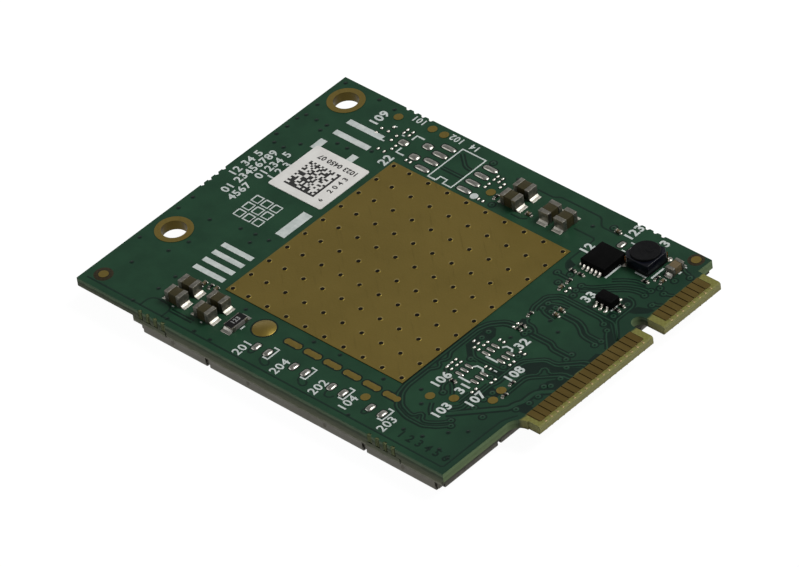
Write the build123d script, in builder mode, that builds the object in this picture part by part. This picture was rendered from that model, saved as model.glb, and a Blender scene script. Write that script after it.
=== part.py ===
from build123d import *
from math import atan2, cos, degrees, radians, sin
import os

# Radio card of the mini PCI Express kind, resting on the cover of its shield.
# All sizes are millimetres. +X runs to the contact tongue, +Y to the far long edge, +Z up.
# The origin is under the middle of the board, at the height of the shield cover's flat underside.

# Main board, as three strips along X and three along Y around the heat pad
left_strip = 13.05
pad_length = 23.1
tongue_strip = 14.55
far_strip = 6.95
pad_width = 23.5
near_strip = 7.15
board_thickness = 1.0

# Screw holes: standard spacing, ring and plating
hole_spacing = 24.2
hole_from_left = 2.65
hole_from_far = 2.7
hole_radius = 1.3
ring_radius = 1.94
plating = 0.05

# Tongue with its contacts
tongue_length = 2.8
tongue_from_far = 2.0
tongue_bevel = 0.15
contact_pitch = 0.8
contact_width = 0.7
contact_length = 1.75
contact_from_tip = 0.45
copper = 0.04
narrow_count = 8
wide_count = 18
tongue_margin = 0.85
wide_near_margin = 0.65
key_width = 1.6
key_depth = 3.2
inner_corner_radius = 1.35
inner_corner_step = 0.14

# Break-off notches along the edges
notch_pitch = 1.0
notch_radius = 0.28
notch_sides = 6
notch_count = 4
notches_from_left = 8.55
notches_from_tongue = 12.15
far_notches_from_tongue = 11.9
left_notches_from_far = 17.3

# Heat pad and round pads
pad_copper = 0.07
via_radius = 0.19
via_sides = 6
via_rows = 10
via_pitch = 2.5
via_side_pitch = 2.05
via_edge = 0.46
test_pad_radius = 0.5
mark_radius = 0.52
round_pad_sides = 12
label_side = 7.05
label_corner = 0.15
label_height = 0.06

# Solder-covered bare pads
bare_pad = 0.05
soic_pitch = 1.27
soic_rows = 5.5
soic_pad_length = 1.7
soic_pad_width = 0.6
diode_pad_length = 1.1
diode_pad_width = 0.8
lamp_spacing = 1.5
lamp_pad_length = 0.7
lamp_pad_width = 1.05
pin_pitch = 0.65
pin_rows = 1.9
pin_pad_length = 0.95
pin_pad_width = 0.4
jumper_step = 1.35
jumper_pad_length = 0.65
jumper_pad_width = 0.95
small_pad_along = 0.3
small_pad_across = 0.36

# Module under the board
module_thickness = 0.65
module_from_left = 7.4
module_inset = 0.12
module_tongue_inset = 0.4
break_tab = 0.1
break_tab_length = 4.3
break_tab_from_tip = 10.6
solder_gap = 0.05
joint_side = 0.8
joint_pitch = 5.0
joint_margin = 0.15
joint_field = 3

# Shield: frame and folded cover
sheet = 0.15
shield_height = 1.5
shield_inset = 0.27
shield_tongue_inset = 0.75
cover_gap = 0.1
frame_clearance = 0.03
bend_radius = 0.3
corner_cut_x = 0.55
corner_cut_y = 0.9
flap_gap = 0.55
flap_relief = 0.5
flap_ends_x = (8.85, 9.25)
flap_ends_y = (8.0, 8.7)
dimple_radius = 0.32
dimple_sides = 8
dimple_tip = 0.14
dimple_depth = 0.11
dimple_rise = 0.8
dimple_pitch = 10.0
dimple_count = 4
dimple_margin = 1.5
window_length = 1.0
window_height = 0.7
frame_lip = 0.7
partition_gap = 0.1
partition_right = 3.0
partition_down = 2.2

# Large chip capacitors
cap_length = 2.0
cap_width = 1.25
cap_height = 1.25
cap_end = 0.5
end_skin = 0.03
solder_run = 0.5
solder_rise = 0.26
solder_margin = 0.04
solder_toe = 0.06
solder_hollow = 0.4

# Derived places
card_length = left_strip + pad_length + tongue_strip
card_width = far_strip + pad_width + near_strip
x_left = -card_length / 2
x_tip = card_length / 2
x_shoulder = x_tip - tongue_length
y_far = card_width / 2
y_near = -card_width / 2
z_module = shield_height
z_joint = z_module + module_thickness
z_under = z_joint + solder_gap
z_top = z_under + board_thickness
pad_x = x_left + left_strip + pad_length / 2
pad_y = y_far - far_strip - pad_width / 2
hole_spots = [(x_left + hole_from_left, y_far - hole_from_far - n * hole_spacing) for n in (0, 1)]

narrow_first = y_far - tongue_from_far - tongue_margin - contact_width / 2
narrow_ys = [narrow_first - n * contact_pitch for n in range(narrow_count)]
key_y = narrow_ys[-1] - contact_width / 2 - tongue_margin - key_width / 2
wide_first = key_y - key_width / 2 - tongue_margin - contact_width / 2
wide_ys = [wide_first - n * contact_pitch for n in range(wide_count)]
y_tongue_near = wide_ys[-1] - contact_width / 2 - wide_near_margin
contact_ys = narrow_ys + wide_ys

module_x0 = x_left + module_from_left
module_x1 = x_shoulder - module_tongue_inset
module_y0 = y_near + module_inset
module_y1 = y_far - module_inset
cover_x0 = module_x0 + shield_inset
cover_x1 = module_x1 - shield_tongue_inset
cover_y0 = module_y0 + shield_inset
cover_y1 = module_y1 - shield_inset
cover_x = (cover_x0 + cover_x1) / 2
cover_y = (cover_y0 + cover_y1) / 2
cover_length = cover_x1 - cover_x0
cover_width = cover_y1 - cover_y0

LOW = (Align.CENTER, Align.CENTER, Align.MIN)
HIGH = (Align.CENTER, Align.CENTER, Align.MAX)


def left_far(right, down):
    """A place measured from the board's left edge and its far edge."""
    return (x_left + right, y_far - down)


def left_near(right, up):
    """A place measured from the board's left edge and its near edge."""
    return (x_left + right, y_near + up)


def pad_far(right, down):
    """A place measured from the heat pad's left side and the board's far edge."""
    return (x_left + left_strip + right, y_far - down)


def pad_near(right, up):
    """A place measured from the heat pad's left side and the board's near edge."""
    return (x_left + left_strip + right, y_near + up)


def tip_far(back, down):
    """A place measured back from the tongue's tip, and from the board's far edge."""
    return (x_tip - back, y_far - down)


def tip_near(back, up):
    """A place measured back from the tongue's tip, and from the board's near edge."""
    return (x_tip - back, y_near + up)


def at_height(spots, height):
    """The same places in the plane, lifted to one height."""
    return [(x, y, height) for x, y in spots]


def solder_fillet(run, rise, width):
    """A hollow solder fillet: its upright side is at x = 0 and it runs out along +X."""
    middle = (run * solder_hollow, rise * solder_hollow)
    with BuildPart() as wedge:
        with BuildSketch(Plane.XZ):
            with BuildLine():
                Polyline((run, solder_toe), (run, 0), (0, 0), (0, rise), middle, close=True)
            make_face()
        extrude(amount=width / 2, both=True)
    return wedge.part


def end_fillets(spots, length, turn, fillet_part):
    """Puts one solder fillet outside each end of parts that lie along X (turn 0) or along Y (turn 90)."""
    reach_x = length / 2 * cos(radians(turn))
    reach_y = length / 2 * sin(radians(turn))
    for x, y in spots:
        with Locations(
            Location((x + reach_x, y + reach_y, z_top), (0, 0, turn)),
            Location((x - reach_x, y - reach_y, z_top), (0, 0, turn + 180)),
        ):
            add(fillet_part)


def chip_bodies(spots, length, width, height, turn):
    """The ceramic middles of two-ended chip parts, which their metal ends wrap."""
    with Locations(*[Location((x, y, z_top + end_skin), (0, 0, turn)) for x, y in spots]):
        Box(length - 2 * end_skin, width - 2 * end_skin, height - 2 * end_skin, align=LOW)


def chip_ends(spots, length, width, height, end, turn):
    """The two metal ends of each chip part, as caps of even skin around its ceramic middle."""
    places = [Location((x, y, z_top), (0, 0, turn)) for x, y in spots]
    inner = [Location((x, y, z_top + end_skin), (0, 0, turn)) for x, y in spots]
    with Locations(*places):
        Box(length, width, height, align=LOW)
        Box(length - 2 * end, width, height, align=LOW, mode=Mode.SUBTRACT)
    with Locations(*inner):
        Box(length - 2 * end_skin, width - 2 * end_skin, height - 2 * end_skin, align=LOW, mode=Mode.SUBTRACT)


def chip_middles(spots, height, turn):
    """The middles of small chip parts, which lie between their two metal end blocks."""
    with Locations(*[Location((x, y, z_top), (0, 0, turn)) for x, y in spots]):
        Box(small_length - 2 * small_end, small_width - 2 * end_skin, height - end_skin, align=LOW)


def chip_end_blocks(spots, height, turn):
    """The two metal end blocks of each small chip part."""
    with Locations(*[Location((x, y, z_top), (0, 0, turn)) for x, y in spots]):
        with Locations((small_end / 2 - small_length / 2, 0), (small_length / 2 - small_end / 2, 0)):
            Box(small_end, small_width, height, align=LOW)


# Main board: glass-fibre sheet with tongue, key slot, screw holes and break-off notches
near_notches = [left_near(notches_from_left + n * notch_pitch, 0) for n in range(notch_count)]
near_notches += [tip_near(notches_from_tongue - n * notch_pitch, 0) for n in range(notch_count)]
far_notches = [left_far(notches_from_left + n * notch_pitch, 0) for n in range(notch_count)]
far_notches += [tip_far(far_notches_from_tongue - n * notch_pitch, 0) for n in range(notch_count)]
left_notches = [left_far(0, left_notches_from_far + n * notch_pitch) for n in range(notch_count)]
x_slot_end = x_tip - key_depth
y_corner = y_tongue_near - inner_corner_step
half_turn_point = inner_corner_radius * (1 - cos(radians(45)))

with BuildPart() as main_board:
    with BuildSketch(Plane.XY.offset(z_under)):
        with BuildLine():
            Polyline(
                (x_shoulder, y_corner - inner_corner_radius),
                (x_shoulder, y_near),
                (x_left, y_near),
                (x_left, y_far),
                (x_shoulder, y_far),
                (x_shoulder, y_far - tongue_from_far),
                (x_tip, y_far - tongue_from_far),
                (x_tip, y_tongue_near),
                (x_shoulder + inner_corner_radius, y_tongue_near),
                (x_shoulder + inner_corner_radius, y_corner),
            )
            ThreePointArc(
                (x_shoulder + inner_corner_radius, y_corner),
                (x_shoulder + half_turn_point, y_corner - half_turn_point),
                (x_shoulder, y_corner - inner_corner_radius),
            )
        make_face()
        slot_run = key_depth - key_width / 2
        with Locations((x_tip - slot_run / 2, key_y)):
            Rectangle(slot_run, key_width, mode=Mode.SUBTRACT)
        with Locations((x_slot_end + key_width / 2, key_y)):
            Circle(key_width / 2, mode=Mode.SUBTRACT)
        with Locations(*near_notches, *far_notches, *left_notches):
            RegularPolygon(notch_radius, notch_sides, mode=Mode.SUBTRACT)
        with Locations(*hole_spots):
            Circle(hole_radius + plating, mode=Mode.SUBTRACT)
    extrude(amount=board_thickness)
    tip_face = main_board.faces().filter_by(Axis.X).group_by(Axis.X)[-1]
    chamfer(tip_face.edges().filter_by(Axis.Y), tongue_bevel)
main_board.part.label = "main_board"

# Heat pad: bare gold-plated copper with its grid of vias
via_x0 = pad_x - pad_length / 2 + via_edge
via_y0 = pad_y + pad_width / 2 - via_edge
via_xs = [via_x0] + [via_x0 + via_side_pitch + n * via_pitch for n in range(via_rows - 1)]
via_ys = [via_y0 - n * via_pitch for n in range(via_rows)]
via_spots = [
    (x, y)
    for x in via_xs
    for y in via_ys
    if x + via_radius < pad_x + pad_length / 2 and y - via_radius > pad_y - pad_width / 2
]
with BuildPart() as heat_pad:
    with BuildSketch(Plane.XY.offset(z_top)):
        with Locations((pad_x, pad_y)):
            Rectangle(pad_length, pad_width)
        with Locations(*via_spots):
            RegularPolygon(via_radius, via_sides, mode=Mode.SUBTRACT)
    extrude(amount=pad_copper)
heat_pad.part.label = "heat_pad"


# Edge contacts on both sides of the tongue
contact_x = x_tip - contact_from_tip - contact_length / 2
with BuildPart() as edge_contacts_upper:
    with Locations(*[(contact_x, y, z_top) for y in contact_ys]):
        Box(contact_length, contact_width, copper, align=LOW)
edge_contacts_upper.part.label = "edge_contacts_upper"

with BuildPart() as edge_contacts_lower:
    with Locations(*[(contact_x, y, z_under) for y in contact_ys]):
        Box(contact_length, contact_width, copper, align=HIGH)
edge_contacts_lower.part.label = "edge_contacts_lower"


# Plated screw holes: a barrel with a ring on each face
with BuildPart() as hole_plating:
    with BuildSketch(Plane.XZ):
        with BuildLine():
            Polyline(
                (hole_radius, z_under - copper),
                (ring_radius, z_under - copper),
                (ring_radius, z_under),
                (hole_radius + plating, z_under),
                (hole_radius + plating, z_top),
                (ring_radius, z_top),
                (ring_radius, z_top + copper),
                (hole_radius, z_top + copper),
                close=True,
            )
        make_face()
    revolve(axis=Axis.Z)

with BuildPart() as hole_plating_far:
    with Locations(hole_spots[0]):
        add(hole_plating.part)
hole_plating_far.part.label = "hole_plating_far"

with BuildPart() as hole_plating_near:
    with Locations(hole_spots[1]):
        add(hole_plating.part)
hole_plating_near.part.label = "hole_plating_near"

# Round test pads and the two alignment marks
test_spots = [
    left_far(8.65, 1.56),
    left_far(12.68, 1.0),
    left_far(14.23, 1.0),
    pad_far(10.87, 4.85),
    pad_near(21.6, 3.7),
    tip_far(6.35, 25.7),
    tip_far(6.05, 27.2),
    tip_far(9.19, 29.14),
    tip_far(11.25, 30.2),
]
with BuildPart() as test_pads:
    with BuildSketch(Plane.XY.offset(z_top)):
        with Locations(*test_spots):
            RegularPolygon(test_pad_radius, round_pad_sides)
    extrude(amount=copper)
test_pads.part.label = "test_pads"

mark_spots = [left_near(1.78, 1.9), tip_far(4.02, 0.87)]
with BuildPart() as alignment_marks:
    with BuildSketch(Plane.XY.offset(z_top)):
        with Locations(*mark_spots):
            RegularPolygon(mark_radius, round_pad_sides)
    extrude(amount=copper)
alignment_marks.part.label = "alignment_marks"

# Square paper label
with BuildPart() as paper_label:
    with Locations((*left_far(8.7, 12.95), z_top)):
        Box(label_side, label_side, label_height, align=LOW)
    chamfer(paper_label.edges().filter_by(Axis.Z), label_corner)
paper_label.part.label = "paper_label"


# Bare pads covered with solder, where parts aren't fitted
def bare_pads(spots, length, width):
    """Flat pads of one size on the board's upper face."""
    with Locations(*at_height(spots, z_top)):
        Box(length, width, bare_pad, align=LOW)


soic_downs = [2.25 + n * soic_pitch for n in range(4)]
with BuildPart() as chip_footprint:
    for right in (2.95, 2.95 + soic_rows):
        bare_pads([pad_far(right, down) for down in soic_downs], soic_pad_length, soic_pad_width)
chip_footprint.part.label = "chip_footprint"

with BuildPart() as diode_footprint:
    diode_spots = [left_far(14.17, 3.25), left_far(14.17, 5.2), left_far(11.8, 4.2)]
    bare_pads(diode_spots, diode_pad_length, diode_pad_width)
diode_footprint.part.label = "diode_footprint"

lamp_rights = [8.2, 13.1, 18.0, 23.0]
with BuildPart() as lamp_footprints:
    for step in (0, lamp_spacing):
        bare_pads([pad_near(right + step, 2.9) for right in lamp_rights], lamp_pad_length, lamp_pad_width)
lamp_footprints.part.label = "lamp_footprints"

with BuildPart() as transistor_footprints:
    for back, down in ((11.1, 21.35), (11.15, 24.95)):
        rows = [down + n * pin_pitch for n in range(3)]
        for step in (0, pin_rows):
            bare_pads([tip_far(back - step, row) for row in rows], pin_pad_length, pin_pad_width)
transistor_footprints.part.label = "transistor_footprints"

with BuildPart() as jumper_footprint:
    jumper_spots = [tip_far(11.3, 3.32), tip_far(11.3 - jumper_step, 3.32)]
    bare_pads(jumper_spots, jumper_pad_length, jumper_pad_width)
jumper_footprint.part.label = "jumper_footprint"

# Two-pad places: the first pad, and the step to the second
pair_step = 0.56
wide_step = 0.79
pairs_along_x = [
    (left_far(10.8, 2.5), 0.71),
    (left_far(10.8, 3.05), 0.71),
    (left_far(13.85, 6.02), pair_step),
    (left_far(10.39, 6.3), wide_step),
    (pad_far(9.84, 2.67), 0.63),
    (pad_far(9.84, 3.23), 0.63),
    (pad_far(10.6, 6.27), pair_step),
    (tip_far(11.35, 20.45), pair_step),
    (tip_far(8.6, 20.6), pair_step),
    (tip_far(13.2, 22.0), pair_step),
    (tip_far(12.55, 22.65), pair_step),
    (tip_far(12.8, 24.95), 0.63),
    (tip_far(12.8, 25.5), 0.63),
    (tip_far(12.75, 26.2), pair_step),
    (tip_far(9.8, 24.05), pair_step),
]
pairs_along_y = [
    (left_far(8.51, 3.8), wide_step),
    (left_far(9.38, 2.99), wide_step),
    (left_far(10.54, 3.84), 0.76),
    (left_far(11.51, 5.0), pair_step),
    (pad_far(9.87, 4.0), pair_step),
    (pad_far(11.13, 3.2), pair_step),
    (tip_far(11.0, 11.0), pair_step),
    (tip_far(11.55, 17.7), 0.6),
    (tip_far(12.05, 21.35), pair_step),
    (tip_far(8.15, 22.0), pair_step),
    (tip_far(7.85, 24.9), pair_step),
    (tip_far(8.4, 26.95), pair_step),
]
with BuildPart() as small_bare_pads:
    for (x, y), step in pairs_along_x:
        bare_pads([(x, y), (x + step, y)], small_pad_along, small_pad_across)
    for (x, y), step in pairs_along_y:
        bare_pads([(x, y), (x, y - step)], small_pad_across, small_pad_along)
small_bare_pads.part.label = "small_bare_pads"

# Large chip capacitors, their metal ends and their solder
caps_along_x = [
    left_near(10.43, 5.1),
    left_near(10.45, 3.25),
    left_near(14.33, 5.05),
    left_near(14.35, 3.15),
    pad_far(13.85, 3.1),
    pad_far(13.8, 4.95),
]
caps_along_y = [pad_far(18.1, 4.2), pad_far(20.05, 4.2)]
cap_fillet = solder_fillet(solder_run, solder_rise, cap_width - 2 * solder_margin)

with BuildPart() as capacitor_bodies:
    chip_bodies(caps_along_x, cap_length, cap_width, cap_height, 0)
    chip_bodies(caps_along_y, cap_length, cap_width, cap_height, 90)
capacitor_bodies.part.label = "capacitor_bodies"

with BuildPart() as capacitor_ends:
    chip_ends(caps_along_x, cap_length, cap_width, cap_height, cap_end, 0)
    chip_ends(caps_along_y, cap_length, cap_width, cap_height, cap_end, 90)
capacitor_ends.part.label = "capacitor_ends"

with BuildPart() as capacitor_solder:
    end_fillets(caps_along_x, cap_length, 0, cap_fillet)
    end_fillets(caps_along_y, cap_length, 90, cap_fillet)
capacitor_solder.part.label = "capacitor_solder"

# Large chip resistor by the near edge
resistor_spot = [pad_near(4.42, 4.05)]
resistor_length = 2.0
resistor_width = 1.25
resistor_height = 0.55
resistor_end = 0.35
resistor_solder_run = 0.55
resistor_solder_rise = 0.3
resistor_fillet = solder_fillet(resistor_solder_run, resistor_solder_rise, resistor_width - 2 * solder_margin)

with BuildPart() as resistor_body:
    chip_bodies(resistor_spot, resistor_length, resistor_width, resistor_height, 90)
resistor_body.part.label = "resistor_body"

with BuildPart() as resistor_ends:
    chip_ends(resistor_spot, resistor_length, resistor_width, resistor_height, resistor_end, 90)
resistor_ends.part.label = "resistor_ends"

with BuildPart() as resistor_solder:
    end_fillets(resistor_spot, resistor_length, 90, resistor_fillet)
resistor_solder.part.label = "resistor_solder"

# Light brown input capacitor beside the inductor
input_spot = [tip_far(4.55, 3.25)]
input_length = 1.65
input_width = 0.95
input_height = 0.9
input_end = 0.36
input_solder_run = 0.38
input_solder_rise = 0.38
input_fillet = solder_fillet(input_solder_run, input_solder_rise, input_width - 2 * solder_margin)

with BuildPart() as input_capacitor_body:
    chip_bodies(input_spot, input_length, input_width, input_height, 90)
input_capacitor_body.part.label = "input_capacitor_body"

with BuildPart() as input_capacitor_ends:
    chip_ends(input_spot, input_length, input_width, input_height, input_end, 90)
input_capacitor_ends.part.label = "input_capacitor_ends"

with BuildPart() as input_capacitor_solder:
    end_fillets(input_spot, input_length, 90, input_fillet)
input_capacitor_solder.part.label = "input_capacitor_solder"

# Small chip parts: 0.6 by 0.3 capacitors and resistors
small_length = 0.6
small_width = 0.3
small_cap_height = 0.33
small_resistor_height = 0.24
small_end = 0.15
small_caps_along_x = [
    tip_far(12.73, 2.14),
    tip_far(9.35, 14.7),
    tip_far(9.4, 13.9),
    pad_far(16.15, 5.2),
]
small_caps_along_y = [
    left_near(10.83, 6.51),
    left_near(12.33, 6.6),
    tip_far(11.71, 11.45),
    tip_far(4.45, 5.2),
]
small_resistors_along_x = [
    tip_far(12.46, 8.93),
    tip_far(11.44, 8.92),
    tip_far(5.8, 6.08),
    tip_far(5.24, 10.1),
    tip_far(5.21, 10.8),
    tip_far(10.91, 17.68),
    tip_far(10.91, 18.28),
    tip_far(10.89, 27.4),
]
small_resistors_along_y = [
    left_near(11.61, 6.6),
    pad_far(11.79, 5.1),
    tip_far(11.74, 10.31),
    tip_far(5.2, 5.15),
    tip_far(11.49, 16.06),
    tip_far(6.16, 24.44),
    tip_far(5.57, 26.1),
]

with BuildPart() as small_capacitor_bodies:
    chip_middles(small_caps_along_x, small_cap_height, 0)
    chip_middles(small_caps_along_y, small_cap_height, 90)
small_capacitor_bodies.part.label = "small_capacitor_bodies"

with BuildPart() as small_resistor_bodies:
    chip_middles(small_resistors_along_x, small_resistor_height, 0)
    chip_middles(small_resistors_along_y, small_resistor_height, 90)
small_resistor_bodies.part.label = "small_resistor_bodies"

with BuildPart() as small_part_ends:
    chip_end_blocks(small_caps_along_x, small_cap_height, 0)
    chip_end_blocks(small_caps_along_y, small_cap_height, 90)
    chip_end_blocks(small_resistors_along_x, small_resistor_height, 0)
    chip_end_blocks(small_resistors_along_y, small_resistor_height, 90)
small_part_ends.part.label = "small_part_ends"

# Regulator chip: flat leadless package with two rows of soldered toes
regulator_spot = tip_far(10.9, 6.3)
regulator_length = 3.0
regulator_width = 3.1
regulator_height = 0.9
toe_count = 5
toe_pitch = 0.5
toe_run = 0.42
toe_rise = 0.34
toe_width = 0.27
package_chamfer = 0.04
toe_fillet = solder_fillet(toe_run, toe_rise, toe_width)

with BuildPart() as regulator_body:
    with Locations((*regulator_spot, z_top)):
        Box(regulator_length, regulator_width, regulator_height, align=LOW)
    chamfer(regulator_body.edges().group_by(Axis.Z)[-1], package_chamfer)
regulator_body.part.label = "regulator_body"

with BuildPart() as regulator_toes:
    toe_xs = [regulator_spot[0] + (n - (toe_count - 1) / 2) * toe_pitch for n in range(toe_count)]
    end_fillets([(x, regulator_spot[1]) for x in toe_xs], regulator_width, 90, toe_fillet)
regulator_toes.part.label = "regulator_toes"

# Six-lead transistor
transistor_spot = tip_far(6.65, 10.5)
transistor_length = 2.0
transistor_width = 1.25
transistor_height = 0.85
transistor_lift = 0.08
lead_width = 0.24
lead_sheet = 0.12
lead_reach = 0.42
lead_foot = 0.24
lead_rise = 0.4
lead_slope = 0.05
transistor_chamfer = 0.07

with BuildPart() as transistor_body:
    with BuildSketch(Plane.XY.offset(z_top + transistor_lift)):
        with Locations(transistor_spot):
            Rectangle(transistor_length, transistor_width)
    extrude(amount=transistor_height)
    chamfer(transistor_body.edges().group_by(Axis.Z)[-1], transistor_chamfer)
transistor_body.part.label = "transistor_body"

with BuildPart() as gull_lead:
    with BuildSketch(Plane.YZ):
        with BuildLine():
            Polyline(
                (0, lead_rise),
                (lead_reach - lead_foot, lead_rise),
                (lead_reach - lead_foot + lead_slope, lead_sheet),
                (lead_reach, lead_sheet),
                (lead_reach, 0),
                (lead_reach - lead_foot + lead_slope - lead_sheet, 0),
                (lead_reach - lead_foot - lead_sheet, lead_rise - lead_sheet),
                (0, lead_rise - lead_sheet),
                close=True,
            )
        make_face()
    extrude(amount=lead_width / 2, both=True)

with BuildPart() as transistor_leads:
    for n in (-1, 0, 1):
        x_lead = transistor_spot[0] + n * pin_pitch
        with Locations(
            Location((x_lead, transistor_spot[1] + transistor_width / 2, z_top)),
            Location((x_lead, transistor_spot[1] - transistor_width / 2, z_top), (0, 0, 180)),
        ):
            add(gull_lead.part)
transistor_leads.part.label = "transistor_leads"

# Shielded power inductor: base plate, drum core in a ferrite ring, winding and two corner clips
inductor_spot = tip_far(7.63, 3.84)
inductor_side = 3.2
inductor_height = 1.5
inductor_corner = 0.55
inductor_base_height = 0.25
ring_bore_radius = 1.42
ring_height = 1.0
drum_radius = 1.46
drum_post_radius = 0.65
drum_flange = 0.25
drum_chamfer = 0.06
winding_radius = 1.2
winding_clearance = 0.05
clip_sheet = 0.12
clip_width = 0.7
clip_height = 0.6
z_inductor = z_top + inductor_base_height
z_drum_top = z_top + inductor_height


def inductor_outline():
    """The inductor's square outline with two cut corners, drawn in the sketch that is open."""
    with Locations(inductor_spot):
        block = Rectangle(inductor_side, inductor_side)
    x_mid, y_mid = inductor_spot
    chamfer([v for v in block.vertices() if (v.X - x_mid) * (v.Y - y_mid) > 0], inductor_corner)


with BuildPart() as inductor_base:
    with BuildSketch(Plane.XY.offset(z_top)):
        inductor_outline()
    extrude(amount=inductor_base_height)
inductor_base.part.label = "inductor_base"

with BuildPart() as inductor_ring:
    with BuildSketch(Plane.XY.offset(z_inductor)):
        inductor_outline()
    extrude(amount=ring_height)
    with Locations((*inductor_spot, z_inductor)):
        Cylinder(ring_bore_radius, ring_height, align=LOW, mode=Mode.SUBTRACT)
inductor_ring.part.label = "inductor_ring"

with BuildPart() as inductor_core:
    with Locations((*inductor_spot, z_inductor)):
        Cylinder(drum_post_radius, inductor_height - inductor_base_height - drum_flange, align=LOW)
    with Locations((*inductor_spot, z_drum_top)):
        Cylinder(drum_radius, drum_flange, align=HIGH)
    chamfer(inductor_core.edges().group_by(Axis.Z)[-1], drum_chamfer)
inductor_core.part.label = "inductor_core"

with BuildPart() as inductor_winding:
    winding_height = ring_height - 2 * winding_clearance
    with Locations((*inductor_spot, z_inductor + winding_clearance)):
        Cylinder(winding_radius, winding_height, align=LOW)
        Cylinder(drum_post_radius + winding_clearance, winding_height, align=LOW, mode=Mode.SUBTRACT)
inductor_winding.part.label = "inductor_winding"

with BuildPart() as inductor_clips:
    for turn in (45, 225):
        corner_reach = (inductor_side - inductor_corner) / 2 * (2 ** 0.5)
        clip_x = inductor_spot[0] - corner_reach * cos(radians(turn))
        clip_y = inductor_spot[1] - corner_reach * sin(radians(turn))
        with Locations(Location((clip_x, clip_y, z_top), (0, 0, turn + 180))):
            Box(clip_sheet, clip_width, clip_height, align=(Align.MIN, Align.CENTER, Align.MIN))
inductor_clips.part.label = "inductor_clips"

# Antenna connectors under the bare strip: base, shell ring and centre pin
antenna_spots = [left_far(4.0, 9.6), left_far(4.0, 16.1)]
antenna_base_side = 2.6
antenna_base_height = 0.35
antenna_shell_radius = 1.0
antenna_shell_wall = 0.14
antenna_corner = 0.3
antenna_height = 1.2
antenna_pin_radius = 0.22
antenna_pin_height = 0.95
antenna_tab = 0.45
antenna_side_tab = 1.6
antenna_pin_tab = 0.6
antenna_tab_sheet = 0.15

with BuildPart() as antenna_bases:
    with Locations(*at_height(antenna_spots, z_under)):
        Box(antenna_base_side, antenna_base_side, antenna_base_height, align=HIGH)
    chamfer(antenna_bases.edges().filter_by(Axis.Z), antenna_corner)
antenna_bases.part.label = "antenna_bases"

with BuildPart() as antenna_shells:
    with Locations(*at_height(antenna_spots, z_under - antenna_base_height)):
        shell_height = antenna_height - antenna_base_height
        Cylinder(antenna_shell_radius, shell_height, align=HIGH)
        Cylinder(antenna_shell_radius - antenna_shell_wall, shell_height, align=HIGH, mode=Mode.SUBTRACT)
antenna_shells.part.label = "antenna_shells"

with BuildPart() as antenna_pins:
    with BuildSketch(Plane.XY.offset(z_under - antenna_base_height)):
        with Locations(*antenna_spots):
            RegularPolygon(antenna_pin_radius, round_pad_sides)
    extrude(amount=antenna_base_height - antenna_pin_height)
antenna_pins.part.label = "antenna_pins"

with BuildPart() as antenna_tabs:
    tab_reach = antenna_base_side / 2 + antenna_tab / 2
    for x, y in antenna_spots:
        with Locations((x + tab_reach, y, z_under), (x - tab_reach, y, z_under)):
            Box(antenna_tab, antenna_side_tab, antenna_tab_sheet, align=HIGH)
        with Locations((x, y - tab_reach, z_under)):
            Box(antenna_pin_tab, antenna_tab, antenna_tab_sheet, align=HIGH)
antenna_tabs.part.label = "antenna_tabs"

# Module board with its break-off remains on the near side
with BuildPart() as module_board:
    with BuildSketch(Plane.XY.offset(z_module)):
        with Locations(((module_x0 + module_x1) / 2, (module_y0 + module_y1) / 2)):
            Rectangle(module_x1 - module_x0, module_y1 - module_y0)
        tab_xs = (module_x0 + break_tab_length / 2, x_tip - break_tab_from_tip)
        with Locations(*[(x, module_y0) for x in tab_xs]):
            Rectangle(break_tab_length, break_tab * 2)
    extrude(amount=module_thickness)
module_board.part.label = "module_board"

# Solder joints between the two boards: one row along each side and a field under the heat pad
joint_inset = joint_side / 2 + joint_margin
joints_x = int((module_x1 - module_x0 - 2 * joint_inset) / joint_pitch) + 1
joints_y = int((module_y1 - module_y0 - 2 * joint_inset) / joint_pitch) + 1
joint_x0 = (module_x0 + module_x1 - (joints_x - 1) * joint_pitch) / 2
joint_y0 = (module_y0 + module_y1 - (joints_y - 1) * joint_pitch) / 2
side_ys = (module_y0 + joint_inset, module_y1 - joint_inset)
side_xs = (module_x0 + joint_inset, module_x1 - joint_inset)
joint_spots = [(joint_x0 + n * joint_pitch, y) for n in range(joints_x) for y in side_ys]
joint_spots += [(x, joint_y0 + n * joint_pitch) for n in range(1, joints_y - 1) for x in side_xs]
steps = [(n + 0.5) / joint_field - 0.5 for n in range(joint_field)]
joint_spots += [(pad_x + a * pad_length, pad_y + b * pad_width) for a in steps for b in steps]
with BuildPart() as module_joints:
    with Locations(*at_height(joint_spots, z_joint)):
        Box(joint_side, joint_side, solder_gap, align=LOW)
module_joints.part.label = "module_joints"


# Shield cover: one folded sheet, with flaps, corner cuts, relief slots and snap-in dimples
def side_places(length):
    """Dimple places along a side of the given length, measured from its middle."""
    steps = [(n - (dimple_count - 1) / 2) * dimple_pitch for n in range(dimple_count)]
    return [step for step in steps if abs(step) < length / 2 - dimple_margin]


steps_x = side_places(cover_length)
steps_y = side_places(cover_width)
dimple_planes = []
for step in steps_x:
    dimple_planes.append(Plane((cover_x + step, cover_y0, dimple_rise), (1, 0, 0), (0, 1, 0)))
    dimple_planes.append(Plane((cover_x + step, cover_y1, dimple_rise), (1, 0, 0), (0, -1, 0)))
for step in steps_y:
    dimple_planes.append(Plane((cover_x0, cover_y + step, dimple_rise), (0, 1, 0), (1, 0, 0)))
    dimple_planes.append(Plane((cover_x1, cover_y + step, dimple_rise), (0, 1, 0), (-1, 0, 0)))

with BuildPart() as dimple:
    with BuildSketch():
        RegularPolygon(dimple_radius, dimple_sides)
    extrude(amount=dimple_depth, taper=degrees(atan2(dimple_radius - dimple_tip, dimple_depth)))

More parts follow.
